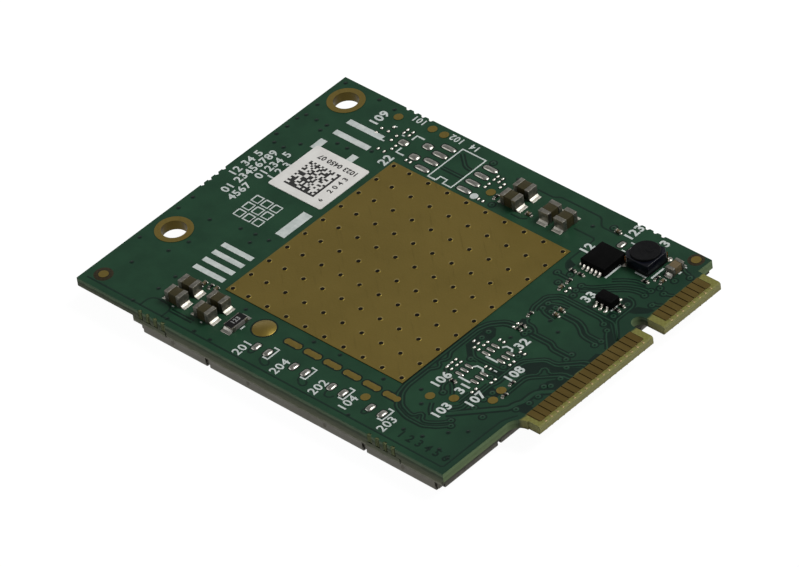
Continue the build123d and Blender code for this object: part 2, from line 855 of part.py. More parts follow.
cover_height = shield_height - cover_gap
with BuildPart() as cover_hollow:
    with Locations((cover_x, cover_y, sheet)):
        Box(cover_length - 2 * sheet, cover_width - 2 * sheet, cover_height - sheet, align=LOW)
    fillet(cover_hollow.edges().group_by(Axis.Z)[0], bend_radius - sheet)

with BuildPart() as shield_cover:
    with Locations((cover_x, cover_y, 0)):
        Box(cover_length, cover_width, cover_height, align=LOW)
    fillet(shield_cover.edges().group_by(Axis.Z)[0], bend_radius)
    add(cover_hollow.part, mode=Mode.SUBTRACT)
    for x in (cover_x0, cover_x1):
        with Locations((x, cover_y0, 0), (x, cover_y1, 0)):
            Box(2 * corner_cut_x, 2 * corner_cut_y, cover_height, align=LOW, mode=Mode.SUBTRACT)
    for x in (cover_x0 + flap_ends_x[0], cover_x1 - flap_ends_x[1] - flap_gap):
        with Locations((x + flap_gap / 2, cover_y0, 0), (x + flap_gap / 2, cover_y1, 0)):
            Box(flap_gap, 2 * flap_relief, cover_height, align=LOW, mode=Mode.SUBTRACT)
    for y in (cover_y0 + flap_ends_y[0], cover_y1 - flap_ends_y[1] - flap_gap):
        with Locations((cover_x0, y + flap_gap / 2, 0), (cover_x1, y + flap_gap / 2, 0)):
            Box(2 * flap_relief, flap_gap, cover_height, align=LOW, mode=Mode.SUBTRACT)
    with Locations(*[plane.offset(sheet) for plane in dimple_planes]):
        add(dimple.part)
    with Locations(*dimple_planes):
        add(dimple.part, mode=Mode.SUBTRACT)
shield_cover.part.label = "shield_cover"

# Shield frame: folded wall with a lip under the cover, snap windows and two inner partitions
frame_x0 = cover_x0 + sheet + frame_clearance
frame_x1 = cover_x1 - sheet - frame_clearance
frame_y0 = cover_y0 + sheet + frame_clearance
frame_y1 = cover_y1 - sheet - frame_clearance
frame_length = frame_x1 - frame_x0
frame_width = frame_y1 - frame_y0
frame_low = sheet + frame_clearance
frame_height = z_module - frame_low
partition_x = cover_x + partition_right
partition_y = cover_y - partition_down

with BuildPart() as shield_frame:
    with Locations((cover_x, cover_y, frame_low)):
        Box(frame_length, frame_width, frame_height, align=LOW)
    fillet(shield_frame.edges().group_by(Axis.Z)[0], bend_radius)
    with Locations((cover_x, cover_y, frame_low + sheet)):
        Box(frame_length - 2 * sheet, frame_width - 2 * sheet, frame_height, align=LOW, mode=Mode.SUBTRACT)
    with Locations((cover_x, cover_y, 0)):
        opening_length = frame_length - 2 * frame_lip
        Box(opening_length, frame_width - 2 * frame_lip, z_module, align=LOW, mode=Mode.SUBTRACT)
    with Locations((partition_x, cover_y, frame_low)):
        Box(2 * frame_lip, frame_width - 2 * sheet, sheet, align=LOW)
        Box(sheet, frame_width - 2 * sheet, frame_height - partition_gap, align=LOW)
    branch_length = frame_x1 - sheet - partition_x
    with Locations((partition_x + branch_length / 2, partition_y, frame_low)):
        Box(branch_length, 2 * frame_lip, sheet, align=LOW)
        Box(branch_length, sheet, frame_height - partition_gap, align=LOW)
    for step in steps_x:
        with Locations((cover_x + step, frame_y0, dimple_rise), (cover_x + step, frame_y1, dimple_rise)):
            Box(window_length, 4 * sheet, window_height, mode=Mode.SUBTRACT)
    for step in steps_y:
        with Locations((frame_x0, cover_y + step, dimple_rise), (frame_x1, cover_y + step, dimple_rise)):
            Box(4 * sheet, window_length, window_height, mode=Mode.SUBTRACT)
shield_frame.part.label = "shield_frame"


# What stands on the module board inside the shield, hanging from its underside
def hanging_blocks(spots, length, width, height):
    """Plain packages on the module board's underside, each place taken from the partition's crossing."""
    with Locations(*[(partition_x + x, partition_y + y, z_module) for x, y in spots]):
        Box(length, width, height, align=HIGH)


processor_side = 12.0
processor_height = 0.85
processor_corner = 0.3
processor_place = (-10.0, 8.0)
thermal_pad_margin = 0.75

# Length, width and height of each kind of package inside the shield
memory_size = (10.5, 8.0, 0.9)
manager_size = (4.5, 4.5, 0.75)
coil_size = (2.5, 2.0, 1.05)
oscillator_size = (2.5, 2.0, 0.7)
transceiver_size = (7.0, 7.0, 0.8)
amplifier_size = (4.0, 3.0, 0.8)
filter_size = (1.8, 1.4, 0.6)
switch_size = (2.2, 2.2, 0.55)
inner_capacitor_size = (1.0, 0.5, 0.5)
coil_pitch = 3.2
filter_pitch = 2.4
inner_capacitor_pitch = 1.4

with BuildPart() as processor:
    hanging_blocks([processor_place], processor_side, processor_side, processor_height)
    chamfer(processor.edges().filter_by(Axis.Z), processor_corner)
processor.part.label = "processor"

with BuildPart() as processor_thermal_pad:
    pad_side = processor_side - 2 * thermal_pad_margin
    with Locations((partition_x + processor_place[0], partition_y + processor_place[1], sheet)):
        Box(pad_side, pad_side, z_module - processor_height - sheet, align=LOW)
processor_thermal_pad.part.label = "processor_thermal_pad"

with BuildPart() as memory_package:
    hanging_blocks([(-9.5, -5.6)], *memory_size)
memory_package.part.label = "memory_package"

with BuildPart() as power_manager:
    hanging_blocks([(-18.0, -6.5)], *manager_size)
power_manager.part.label = "power_manager"

with BuildPart() as power_inductors:
    hanging_blocks([(-18.4 + n * coil_pitch, -12.2) for n in range(4)], *coil_size)
power_inductors.part.label = "power_inductors"

with BuildPart() as reference_oscillator:
    hanging_blocks([(-18.6, 12.5)], *oscillator_size)
reference_oscillator.part.label = "reference_oscillator"

with BuildPart() as radio_transceiver:
    hanging_blocks([(6.2, 6.5)], *transceiver_size)
radio_transceiver.part.label = "radio_transceiver"

with BuildPart() as power_amplifiers:
    hanging_blocks([(3.8, -5.0), (3.8, -9.2), (9.0, -5.0)], *amplifier_size)
power_amplifiers.part.label = "power_amplifiers"

with BuildPart() as band_filters:
    hanging_blocks([(12.4, 3.2 + n * filter_pitch) for n in range(6)], *filter_size)
    hanging_blocks([(12.6, -5.0 - n * filter_pitch) for n in range(4)], *filter_size)
band_filters.part.label = "band_filters"

with BuildPart() as antenna_switches:
    hanging_blocks([(9.0, -10.0), (4.5, 15.0)], *switch_size)
antenna_switches.part.label = "antenna_switches"

with BuildPart() as module_capacitors:
    hanging_blocks([(-18.6, -1.2 + n * inner_capacitor_pitch) for n in range(8)], *inner_capacitor_size)
    hanging_blocks([(1.4 + n * inner_capacitor_pitch, 12.2) for n in range(6)], *inner_capacitor_size)
module_capacitors.part.label = "module_capacitors"

os.makedirs("parts", exist_ok=True)
export_step(main_board.part, "parts/main_board.step")
export_step(heat_pad.part, "parts/heat_pad.step")
export_step(edge_contacts_upper.part, "parts/edge_contacts_upper.step")
export_step(edge_contacts_lower.part, "parts/edge_contacts_lower.step")
export_step(hole_plating_far.part, "parts/hole_plating_far.step")
export_step(hole_plating_near.part, "parts/hole_plating_near.step")
export_step(test_pads.part, "parts/test_pads.step")
export_step(alignment_marks.part, "parts/alignment_marks.step")
export_step(paper_label.part, "parts/paper_label.step")
export_step(chip_footprint.part, "parts/chip_footprint.step")
export_step(diode_footprint.part, "parts/diode_footprint.step")
export_step(lamp_footprints.part, "parts/lamp_footprints.step")
export_step(transistor_footprints.part, "parts/transistor_footprints.step")
export_step(jumper_footprint.part, "parts/jumper_footprint.step")
export_step(small_bare_pads.part, "parts/small_bare_pads.step")
export_step(capacitor_bodies.part, "parts/capacitor_bodies.step")
export_step(capacitor_ends.part, "parts/capacitor_ends.step")
export_step(capacitor_solder.part, "parts/capacitor_solder.step")
export_step(resistor_body.part, "parts/resistor_body.step")
export_step(resistor_ends.part, "parts/resistor_ends.step")
export_step(resistor_solder.part, "parts/resistor_solder.step")
export_step(input_capacitor_body.part, "parts/input_capacitor_body.step")
export_step(input_capacitor_ends.part, "parts/input_capacitor_ends.step")
export_step(input_capacitor_solder.part, "parts/input_capacitor_solder.step")
export_step(small_capacitor_bodies.part, "parts/small_capacitor_bodies.step")
export_step(small_resistor_bodies.part, "parts/small_resistor_bodies.step")
export_step(small_part_ends.part, "parts/small_part_ends.step")
export_step(regulator_body.part, "parts/regulator_body.step")
export_step(regulator_toes.part, "parts/regulator_toes.step")
export_step(transistor_body.part, "parts/transistor_body.step")
export_step(transistor_leads.part, "parts/transistor_leads.step")
export_step(inductor_base.part, "parts/inductor_base.step")
export_step(inductor_ring.part, "parts/inductor_ring.step")
export_step(inductor_core.part, "parts/inductor_core.step")
export_step(inductor_winding.part, "parts/inductor_winding.step")
export_step(inductor_clips.part, "parts/inductor_clips.step")
export_step(antenna_bases.part, "parts/antenna_bases.step")
export_step(antenna_shells.part, "parts/antenna_shells.step")
export_step(antenna_pins.part, "parts/antenna_pins.step")
export_step(antenna_tabs.part, "parts/antenna_tabs.step")
export_step(module_board.part, "parts/module_board.step")
export_step(module_joints.part, "parts/module_joints.step")
export_step(shield_cover.part, "parts/shield_cover.step")
export_step(shield_frame.part, "parts/shield_frame.step")
export_step(processor.part, "parts/processor.step")
export_step(processor_thermal_pad.part, "parts/processor_thermal_pad.step")
export_step(memory_package.part, "parts/memory_package.step")
export_step(power_manager.part, "parts/power_manager.step")
export_step(power_inductors.part, "parts/power_inductors.step")
export_step(reference_oscillator.part, "parts/reference_oscillator.step")
export_step(radio_transceiver.part, "parts/radio_transceiver.step")
export_step(power_amplifiers.part, "parts/power_amplifiers.step")
export_step(band_filters.part, "parts/band_filters.step")
export_step(antenna_switches.part, "parts/antenna_switches.step")
export_step(module_capacitors.part, "parts/module_capacitors.step")
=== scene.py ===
import math
import random

import bmesh
import bpy
from mathutils import Matrix, Vector


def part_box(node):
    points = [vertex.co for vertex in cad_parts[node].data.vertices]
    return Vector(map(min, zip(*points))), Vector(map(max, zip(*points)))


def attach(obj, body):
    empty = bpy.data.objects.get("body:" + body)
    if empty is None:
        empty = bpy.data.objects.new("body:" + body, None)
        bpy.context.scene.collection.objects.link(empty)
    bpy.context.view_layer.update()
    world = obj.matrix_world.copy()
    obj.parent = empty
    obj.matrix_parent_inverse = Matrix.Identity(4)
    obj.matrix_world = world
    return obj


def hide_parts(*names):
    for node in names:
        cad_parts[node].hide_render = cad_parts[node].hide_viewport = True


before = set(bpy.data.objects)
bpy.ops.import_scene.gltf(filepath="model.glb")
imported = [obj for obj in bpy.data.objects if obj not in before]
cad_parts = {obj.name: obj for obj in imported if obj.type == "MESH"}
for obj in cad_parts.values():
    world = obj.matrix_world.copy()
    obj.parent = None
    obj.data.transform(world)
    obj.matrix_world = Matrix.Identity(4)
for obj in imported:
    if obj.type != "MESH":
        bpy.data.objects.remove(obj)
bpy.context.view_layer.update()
MM = 0.001

# Camera
# A long lens stands in front of the tongue's near corner and looks down at the card.
# Its place and its turn are those of the photograph.
camera_data = bpy.data.cameras.new("long_lens")
camera_data.sensor_width = 36.0
camera_data.lens = 315.83
camera_data.clip_start = 0.01
camera_data.clip_end = 20.0
camera = bpy.data.objects.new("long_lens", camera_data)
bpy.context.scene.collection.objects.link(camera)
look_right = Vector((0.72637, 0.67887, -0.10733))
look_up = Vector((-0.37755, 0.5246, 0.76305))
look_back = look_right.cross(look_up)
turned = Matrix((look_right, look_up, look_back)).transposed().to_4x4()
camera_place = Vector((381.7, -342.04, 426.08)) * MM
camera.matrix_world = Matrix.Translation(camera_place) @ turned
bpy.context.scene.camera = camera
bpy.context.scene.view_settings.view_transform = "Standard"


# Floor and light
# The card lies on its shield cover on a white sweep. A large soft lamp stands behind it to the right, and a
# weaker one to the left. Metal shows the white sweep low down and the dimmer room above it.
def put_node(tree, kind, inputs=None, **settings):
    """Adds one shader node with its settings, and sets or links its inputs."""
    made = tree.nodes.new(kind)
    for name, value in settings.items():
        setattr(made, name, value)
    for socket, value in (inputs or {}).items():
        if isinstance(value, bpy.types.NodeSocket):
            tree.links.new(value, made.inputs[socket])
        else:
            made.inputs[socket].default_value = value
    return made


def compute(tree, operation, *values):
    """The result of one sum on numbers or sockets."""
    return put_node(tree, "ShaderNodeMath", dict(enumerate(values)), operation=operation).outputs[0]


def axes_of(tree, kind, output):
    """The three parts of a place or of a direction that a node gives."""
    return put_node(tree, "ShaderNodeSeparateXYZ", {0: put_node(tree, kind).outputs[output]}).outputs


def between(tree, value, low, high, at_low=0.0, at_high=1.0):
    """Runs smoothly from one number to another while a value crosses a range."""
    return put_node(tree, "ShaderNodeMapRange", {0: value, 1: low, 2: high, 3: at_low, 4: at_high},
                    interpolation_type="SMOOTHSTEP").outputs[0]


def seen_rays(tree):
    """1 for rays from the camera and through glass, and 1 for those that metal sends on."""
    rays = put_node(tree, "ShaderNodeLightPath").outputs
    return compute(tree, "MAXIMUM", rays["Is Camera Ray"], rays["Is Transmission Ray"]), rays["Is Glossy Ray"]


floor_size = 3.0
floor_drop = 0.02 * MM
floor_glow = 0.86
floor_builder = bmesh.new()
bmesh.ops.create_grid(floor_builder, x_segments=1, y_segments=1, size=floor_size / 2,
                      matrix=Matrix.Translation((0, 0, -floor_drop)))
floor_mesh = bpy.data.meshes.new("pale_floor")
floor_builder.to_mesh(floor_mesh)
floor_builder.free()
pale_floor = bpy.data.objects.new("pale_floor", floor_mesh)
bpy.context.scene.collection.objects.link(pale_floor)
floor_finish = bpy.data.materials.new("pale_floor")
floor_finish.use_nodes = True
tree = floor_finish.node_tree
tree.nodes.clear()
straight, glossy = seen_rays(tree)
share = compute(tree, "MULTIPLY", compute(tree, "MAXIMUM", straight, glossy), floor_glow)
matt = put_node(tree, "ShaderNodeBsdfDiffuse", {"Color": (0.62, 0.62, 0.62, 1)})
glow = put_node(tree, "ShaderNodeEmission", {"Color": (1, 1, 1, 1), "Strength": 1.12})
floor_mix = put_node(tree, "ShaderNodeMixShader", {0: share, 1: matt.outputs[0], 2: glow.outputs[0]})
put_node(tree, "ShaderNodeOutputMaterial", {"Surface": floor_mix.outputs[0]})
floor_mesh.materials.append(floor_finish)

world = bpy.data.worlds.new("studio")
bpy.context.scene.world = world
world.use_nodes = True
tree = world.node_tree
tree.nodes.clear()
straight, glossy = seen_rays(tree)
sweep = between(tree, axes_of(tree, "ShaderNodeNewGeometry", "Incoming")[2], -0.5, -0.1, 0.34, 1.0)
room = put_node(tree, "ShaderNodeBackground", {"Color": (0.95, 0.97, 1.0, 1), "Strength": 0.2})
mirrored = put_node(tree, "ShaderNodeBackground", {"Color": (1, 1, 1, 1), "Strength": sweep})
white = put_node(tree, "ShaderNodeBackground", {"Color": (1, 1, 1, 1), "Strength": 1.0})
reflected = put_node(tree, "ShaderNodeMixShader", {0: glossy, 1: room.outputs[0], 2: mirrored.outputs[0]})
shown = put_node(tree, "ShaderNodeMixShader", {0: straight, 1: reflected.outputs[0], 2: white.outputs[0]})
put_node(tree, "ShaderNodeOutputWorld", {"Surface": shown.outputs[0]})


def soft_lamp(name, direction, distance, side, power):
    """A square soft lamp that faces the card from a direction."""
    lamp_data = bpy.data.lights.new(name, "AREA")
    lamp_data.size = side
    lamp_data.energy = power
    lamp = bpy.data.objects.new(name, lamp_data)
    bpy.context.scene.collection.objects.link(lamp)
    towards = Vector(direction).normalized()
    turn = towards.to_track_quat("Z", "Y").to_matrix().to_4x4()
    lamp.matrix_world = Matrix.Translation(towards * distance) @ turn


soft_lamp("back_lamp", (0.38, 0.45, 0.81), 0.6, 0.3, 3.1)
soft_lamp("left_lamp", (-0.75, -0.65, 0.4), 0.6, 0.4, 0.85)


# Main board
# A glass-fibre sheet with copper inside, routed out of its panel and covered in green mask but for the tip.
# The edges are bare laminate, and the break-off notches keep torn fibre.
def tone(red, green, blue):
    """A colour as a screen shows it, 0 to 255, as linear light."""
    linear = [((c / 255 + 0.055) / 1.055) ** 2.4 if c > 10 else c / 255 / 12.92 for c in (red, green, blue)]
    return (*linear, 1.0)


def dimmed(colour, share):
    """A share of a colour's light."""
    return (*(c * share for c in colour[:3]), 1.0)


def new_finish(name, **sockets):
    """Starts a material and gives back the material, its node tree and its main shader."""
    finish = bpy.data.materials.new(name)
    finish.use_nodes = True
    shader = finish.node_tree.nodes["Principled BSDF"]
    for socket, value in sockets.items():
        shader.inputs[socket.replace("_", " ")].default_value = value
    return finish, finish.node_tree, shader


def mix_tones(tree, share, first, second):
    """Two colours mixed by a share from 0 to 1."""
    return put_node(tree, "ShaderNodeMix", {0: share, 6: first, 7: second}, data_type="RGBA").outputs[2]


def bump(tree, shader, height, depth):
    """Gives a surface its relief, with the depth in mm."""
    relief = put_node(tree, "ShaderNodeBump", {"Height": height, "Distance": depth * MM})
    tree.links.new(relief.outputs[0], shader.inputs["Normal"])


def new_effect(name, inputs, outputs):
    """Starts a shader node group with named inputs (with their usual values) and outputs."""
    effect = bpy.data.node_groups.new(name, "ShaderNodeTree")
    for label, usual in inputs.items():
        socket = effect.interface.new_socket(label, in_out="INPUT", socket_type="NodeSocketFloat")
        socket.default_value = usual
    for label in outputs:
        effect.interface.new_socket(label, in_out="OUTPUT", socket_type="NodeSocketFloat")
    return effect, effect.nodes.new("NodeGroupInput").outputs, effect.nodes.new("NodeGroupOutput").inputs


def use_effect(tree, effect, **values):
    """Places a shader node group in a material with its own values."""
    placed = put_node(tree, "ShaderNodeGroup", node_tree=effect)
    for label, value in values.items():
        placed.inputs[label].default_value = value
    return placed.outputs


# Fine grain: a speckle of one size and a slower mottle, from 0 to 1
grain, take, give = new_effect("fine_grain", {"Speckle": 5000.0, "Mottle": 300.0}, ["Speckle", "Mottle"])
grain_place = put_node(grain, "ShaderNodeTexCoord").outputs["Object"]
for label in ("Speckle", "Mottle"):
    cloud = put_node(grain, "ShaderNodeTexNoise", {"Vector": grain_place, "Scale": take[label], "Detail": 3.0,
                                                   "Roughness": 0.6})
    grain.links.new(between(grain, cloud.outputs[0], 0.28, 0.72), give[label])

# Glass weave: bundles of fibre that cross under the resin
weave, take, give = new_effect("glass_weave", {"Pitch": 0.0005}, ["Height"])
waves = []
for along in axes_of(weave, "ShaderNodeTexCoord", "Object")[:2]:
    turns = compute(weave, "DIVIDE", along, take["Pitch"])
    waves.append(compute(weave, "SINE", compute(weave, "MULTIPLY", turns, math.tau)))
crossing = compute(weave, "MULTIPLY", *waves)
weave.links.new(between(weave, crossing, -1.0, 1.0), give["Height"])

# Laminate: the layers that a cut edge of the board shows, with torn and stained fibre
laminate, take, give = new_effect("laminate", {"Layer": 0.00016}, ["Layers", "Fibre"])
coordinates = put_node(laminate, "ShaderNodeTexCoord").outputs["Object"]
stretched = put_node(laminate, "ShaderNodeMapping", {"Vector": coordinates, "Scale": (900.0, 900.0, 9000.0)})
fibre = put_node(laminate, "ShaderNodeTexNoise",
                 {"Vector": stretched.outputs[0], "Scale": 1.0, "Detail": 4.0}).outputs[0]
depth = put_node(laminate, "ShaderNodeSeparateXYZ", {0: coordinates}).outputs[2]
layer = compute(laminate, "DIVIDE", depth, take["Layer"])
sway = compute(laminate, "MULTIPLY_ADD", fibre, 0.5, layer)
ripple = compute(laminate, "SINE", compute(laminate, "MULTIPLY", sway, math.tau))
laminate.links.new(between(laminate, ripple, -0.6, 1.0), give["Layers"])
laminate.links.new(between(laminate, fibre, 0.3, 0.7), give["Fibre"])

MASK_GREEN = tone(29, 62, 42)
MASK_DEEP = tone(23, 54, 36)
tongue_mask_end = 23.2 * MM
mask_fray = 0.3 * MM
fibre_pitch = 0.52 * MM
fibre_sway = 0.16 * MM


def banded(tree, value, stops):
    """A colour that runs through some stops as a value goes from 0 to 1."""
    ramp = put_node(tree, "ShaderNodeValToRGB", {0: value})
    steps = ramp.color_ramp.elements
    steps[0].position, steps[0].color = stops[0]
    steps[1].position, steps[1].color = stops[-1]
    for position, colour in stops[1:-1]:
        steps.new(position).color = colour
    return ramp.outputs[0]


def board_finish(name, node, bands, bare_tip):
    """Green mask on both faces, bare fibre at the tongue's tip if asked for, laminate at the edges, and painted
    shade.
    """
    low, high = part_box(node)
    finish, tree, shader = new_finish(name)
    place = axes_of(tree, "ShaderNodeTexCoord", "Object")
    facing = axes_of(tree, "ShaderNodeNewGeometry", "True Normal")
    upright = compute(tree, "ABSOLUTE", facing[2])
    flat = between(tree, upright, 0.4, 0.8)
    grains = use_effect(tree, grain, Speckle=6000.0, Mottle=350.0)
    bundles = use_effect(tree, weave, Pitch=fibre_pitch)
    layers = use_effect(tree, laminate, Layer=0.00017)
    mask = mix_tones(tree, grains["Mottle"], MASK_DEEP, MASK_GREEN)
    torn = compute(tree, "MULTIPLY_ADD", layers["Fibre"], fibre_sway, place[2])
    rise = between(tree, torn, low.z + fibre_sway / 2, high.z + fibre_sway / 2)
    dim_bands = [(at, dimmed(colour, 0.8)) for at, colour in bands]
    edge = mix_tones(tree, layers["Layers"], banded(tree, rise, bands), banded(tree, rise, dim_bands))
    # Edges that face the tip's way: light olive on the main board; on the module board near black, painted
    # shade on its right side.
    toward_tip = between(tree, facing[0], 0.5, 0.9, 0.0, 0.6)
    edge = mix_tones(tree, toward_tip, edge, tone(104, 124, 84) if bare_tip else tone(16, 18, 12))
    if bare_tip:
        # Painted shade: the mask darkens over the last 6 mm towards the tip, where the light falls off.
        painted_light_falloff = between(tree, place[0], 17 * MM, 23 * MM, 0.0, 0.7)
        mask = mix_tones(tree, painted_light_falloff, mask, tone(21, 47, 34))
        soft_end = compute(tree, "MULTIPLY_ADD", grains["Mottle"], mask_fray, place[0])
        tip = between(tree, soft_end, tongue_mask_end, tongue_mask_end + mask_fray)
        bare = mix_tones(tree, bundles["Height"], tone(109, 106, 54), tone(117, 116, 61))
        mask = mix_tones(tree, tip, mask, bare)
        cut = banded(tree, rise, [(0.0, tone(98, 92, 54)), (0.14, tone(129, 125, 81)),
                                  (0.5, tone(137, 135, 89)), (1.0, tone(131, 133, 89))])
        edge = mix_tones(tree, tip, edge, mix_tones(tree, layers["Layers"], cut, tone(118, 114, 73)))
    else:
        # Painted shade: the module board's upward mask turns near black, as if in shadow under the main board.
        mask = mix_tones(tree, between(tree, facing[2], 0.5, 0.9), mask, tone(9, 17, 12))
    tree.links.new(mix_tones(tree, flat, edge, mask), shader.inputs["Base Color"])
    tree.links.new(between(tree, upright, 0.4, 0.8, 0.7, 0.42), shader.inputs["Roughness"])
    shader.inputs["Specular IOR Level"].default_value = 0.15
    bump(tree, shader, compute(tree, "MULTIPLY_ADD", bundles["Height"], 0.35, grains["Speckle"]), 0.0015)
    return finish


def dress(name, finish):
    """Gives a piece of the frame its finish."""
    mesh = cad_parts[name].data
    mesh.materials.clear()
    mesh.materials.append(finish)


board_bands = [(0.0, tone(82, 87, 69)), (0.2, tone(73, 80, 62)), (0.36, tone(50, 60, 43)),
               (0.58, tone(50, 60, 43)), (0.76, tone(83, 101, 77)), (0.92, tone(78, 97, 73)),
               (1.0, tone(60, 83, 61))]
module_bands = [(0.0, tone(124, 124, 110)), (0.22, tone(120, 120, 104)), (0.34, tone(88, 92, 72)),
                (0.8, tone(92, 96, 78)), (1.0, tone(74, 80, 60))]
dress("main_board", board_finish("green_board", "main_board", board_bands, True))
dress("module_board", board_finish("module_board", "module_board", module_bands, False))
board_low, board_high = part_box("main_board")
board_top, board_under = board_high.z, board_low.z
map_left, map_far = 25.6, 19.0


def on_board(right, down, height=0.0):
    """A place in mm: right of and down from a point just outside the far left corner, and above the face."""
    return Vector(((right - map_left) * MM, (map_far - down) * MM, board_top + height * MM))


def off_board(place):
    """The mm to the right and down that on_board would take, and the height above the face."""
    return place.x / MM + map_left, map_far - place.y / MM, (place.z - board_top) / MM


sharp_angle = math.radians(40)


def keep_piece(name, builder, finish, smooth=True):
    """Turns a mesh in the making into a piece of the card."""
    mesh = bpy.data.meshes.new(name)
    builder.to_mesh(mesh)
    builder.free()
    for face in mesh.polygons:
        face.use_smooth = smooth
    if smooth:
        mesh.set_sharp_from_angle(angle=sharp_angle)
    mesh.materials.append(finish)
    piece = bpy.data.objects.new(name, mesh)
    bpy.context.scene.collection.objects.link(piece)
    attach(piece, "root")
    return piece


def grained_finish(name, first, second, speckle, mottle, depth=0, tint="Mottle", swell="Speckle", **sockets):
    """A material that runs between two colours with one grain, and has relief from a grain, in mm."""
    finish, tree, shader = new_finish(name, **sockets)
    grains = use_effect(tree, grain, Speckle=speckle, Mottle=mottle)
    tree.links.new(mix_tones(tree, grains[tint], first, second), shader.inputs["Base Color"])
    if depth:
        bump(tree, shader, grains[swell], depth)
    return finish


def add_block(builder, middle, size, turn=Matrix()):
    """A block of a size about its middle, both in metres."""
    shape = Matrix.Translation(middle) @ turn @ Matrix.Diagonal((*size, 1))
    return bmesh.ops.create_cube(builder, size=1.0, matrix=shape)["verts"]


# Torn fibre: five slivers stand in each round notch that a break-off tab leaves in the board's edge
torn_finish = grained_finish("torn_fibre", tone(72, 78, 52), tone(98, 105, 72), 9000.0, 3500.0,
                             tint="Speckle", Roughness=0.8, Specular_IOR_Level=0.1)
torn_builder = bmesh.new()
torn_chance = random.Random(5)
notch_reach = 0.28
notches_in_row = 4
long_edge, short_edge = board_high.y / MM, board_low.x / MM
sliver_foot = 2.26
sliver_width, sliver_pitch = 0.125, 0.105
long_rows = ((-16.8, -1), (13.2, -1), (-16.8, 1), (13.45, 1))
notch_places = [(start + n, edge * long_edge, edge) for start, edge in long_rows
                for n in range(notches_in_row)]
notch_places += [(short_edge, 1.5 - n, 0) for n in range(notches_in_row)]
for x, y, edge in notch_places:
    for step in range(5):
        shift = (step - 2) * sliver_pitch + torn_chance.uniform(-0.02, 0.02)
        depth = 0.27 - 0.9 * shift * shift + torn_chance.uniform(-0.03, 0.03)
        tall = torn_chance.uniform(0.82, 0.92) if edge < 0 else torn_chance.uniform(0.3, 0.5)
        inward = notch_reach - depth / 2
        if edge:
            middle = Vector((x + shift, y - edge * inward, sliver_foot + tall / 2))
            size = Vector((sliver_width, depth, tall))
        else:
            middle = Vector((x + inward, y + shift, sliver_foot + tall / 2))
            size = Vector((depth, sliver_width, tall))
        add_block(torn_builder, middle * MM, size * MM)
keep_piece("torn_notch_fibre", torn_builder, torn_finish, False)


# Copper under the mask
# Tracks and vias are etched in the outer copper, so the mask dips in the gap round each of them.
# The gap looks darker than the copper on both sides of it.
def covered_finish(name, colour, roughness):
    """Green mask over copper or over a gap in it."""
    return grained_finish(name, dimmed(colour, 0.86), colour, 6000.0, 900.0, 0.0012, Roughness=roughness,
                          Specular_IOR_Level=0.15)


def lay_strip(builder, route, width, height):
    """A low rounded strip along a route on the board, as mask lies over a track or ink lies in a line."""
    line = bpy.data.curves.new("strip", "CURVE")
    line.dimensions = "3D"
    line.bevel_depth = width / 2 * MM
    line.bevel_resolution = 1
    line.use_fill_caps = True
    run = line.splines.new("POLY")
    run.points.add(len(route) - 1)
    for point, (right, down) in zip(run.points, route):
        place = on_board(right, down)
        point.co = (place.x, place.y, 0.0, 1.0)
    holder = bpy.data.objects.new("strip", line)
    mesh = bpy.data.meshes.new_from_object(holder)
    mesh.transform(Matrix.Translation((0, 0, board_top)) @ Matrix.Scale(2 * height / width, 4, (0, 0, 1)))
    builder.from_mesh(mesh)
    bpy.data.objects.remove(holder)
    bpy.data.curves.remove(line)
    bpy.data.meshes.remove(mesh)


def add_round(builder, middle, foot_radius, top_radius, depth, sides, turn=Matrix()):
    """A closed round solid about its middle, with a radius at each end, all in metres."""
    bmesh.ops.create_cone(builder, cap_ends=True, segments=sides, radius1=foot_radius, radius2=top_radius,
                          depth=depth, matrix=Matrix.Translation(middle) @ turn)


def lay_disc(builder, right, down, radius, height, sides=16, tip=0.86):
    """A low round spot on the board, with a sloping rim."""
    middle = on_board(right, down, height / 2)
    add_round(builder, middle, radius * MM, radius * tip * MM, height * MM, sides)


gap_finish = covered_finish("mask_over_gap", tone(9, 30, 22), 0.45)
faint_finish = covered_finish("mask_over_narrow_gap", tone(14, 37, 27), 0.45)
track_finish = covered_finish("mask_over_track", tone(31, 62, 44), 0.38)

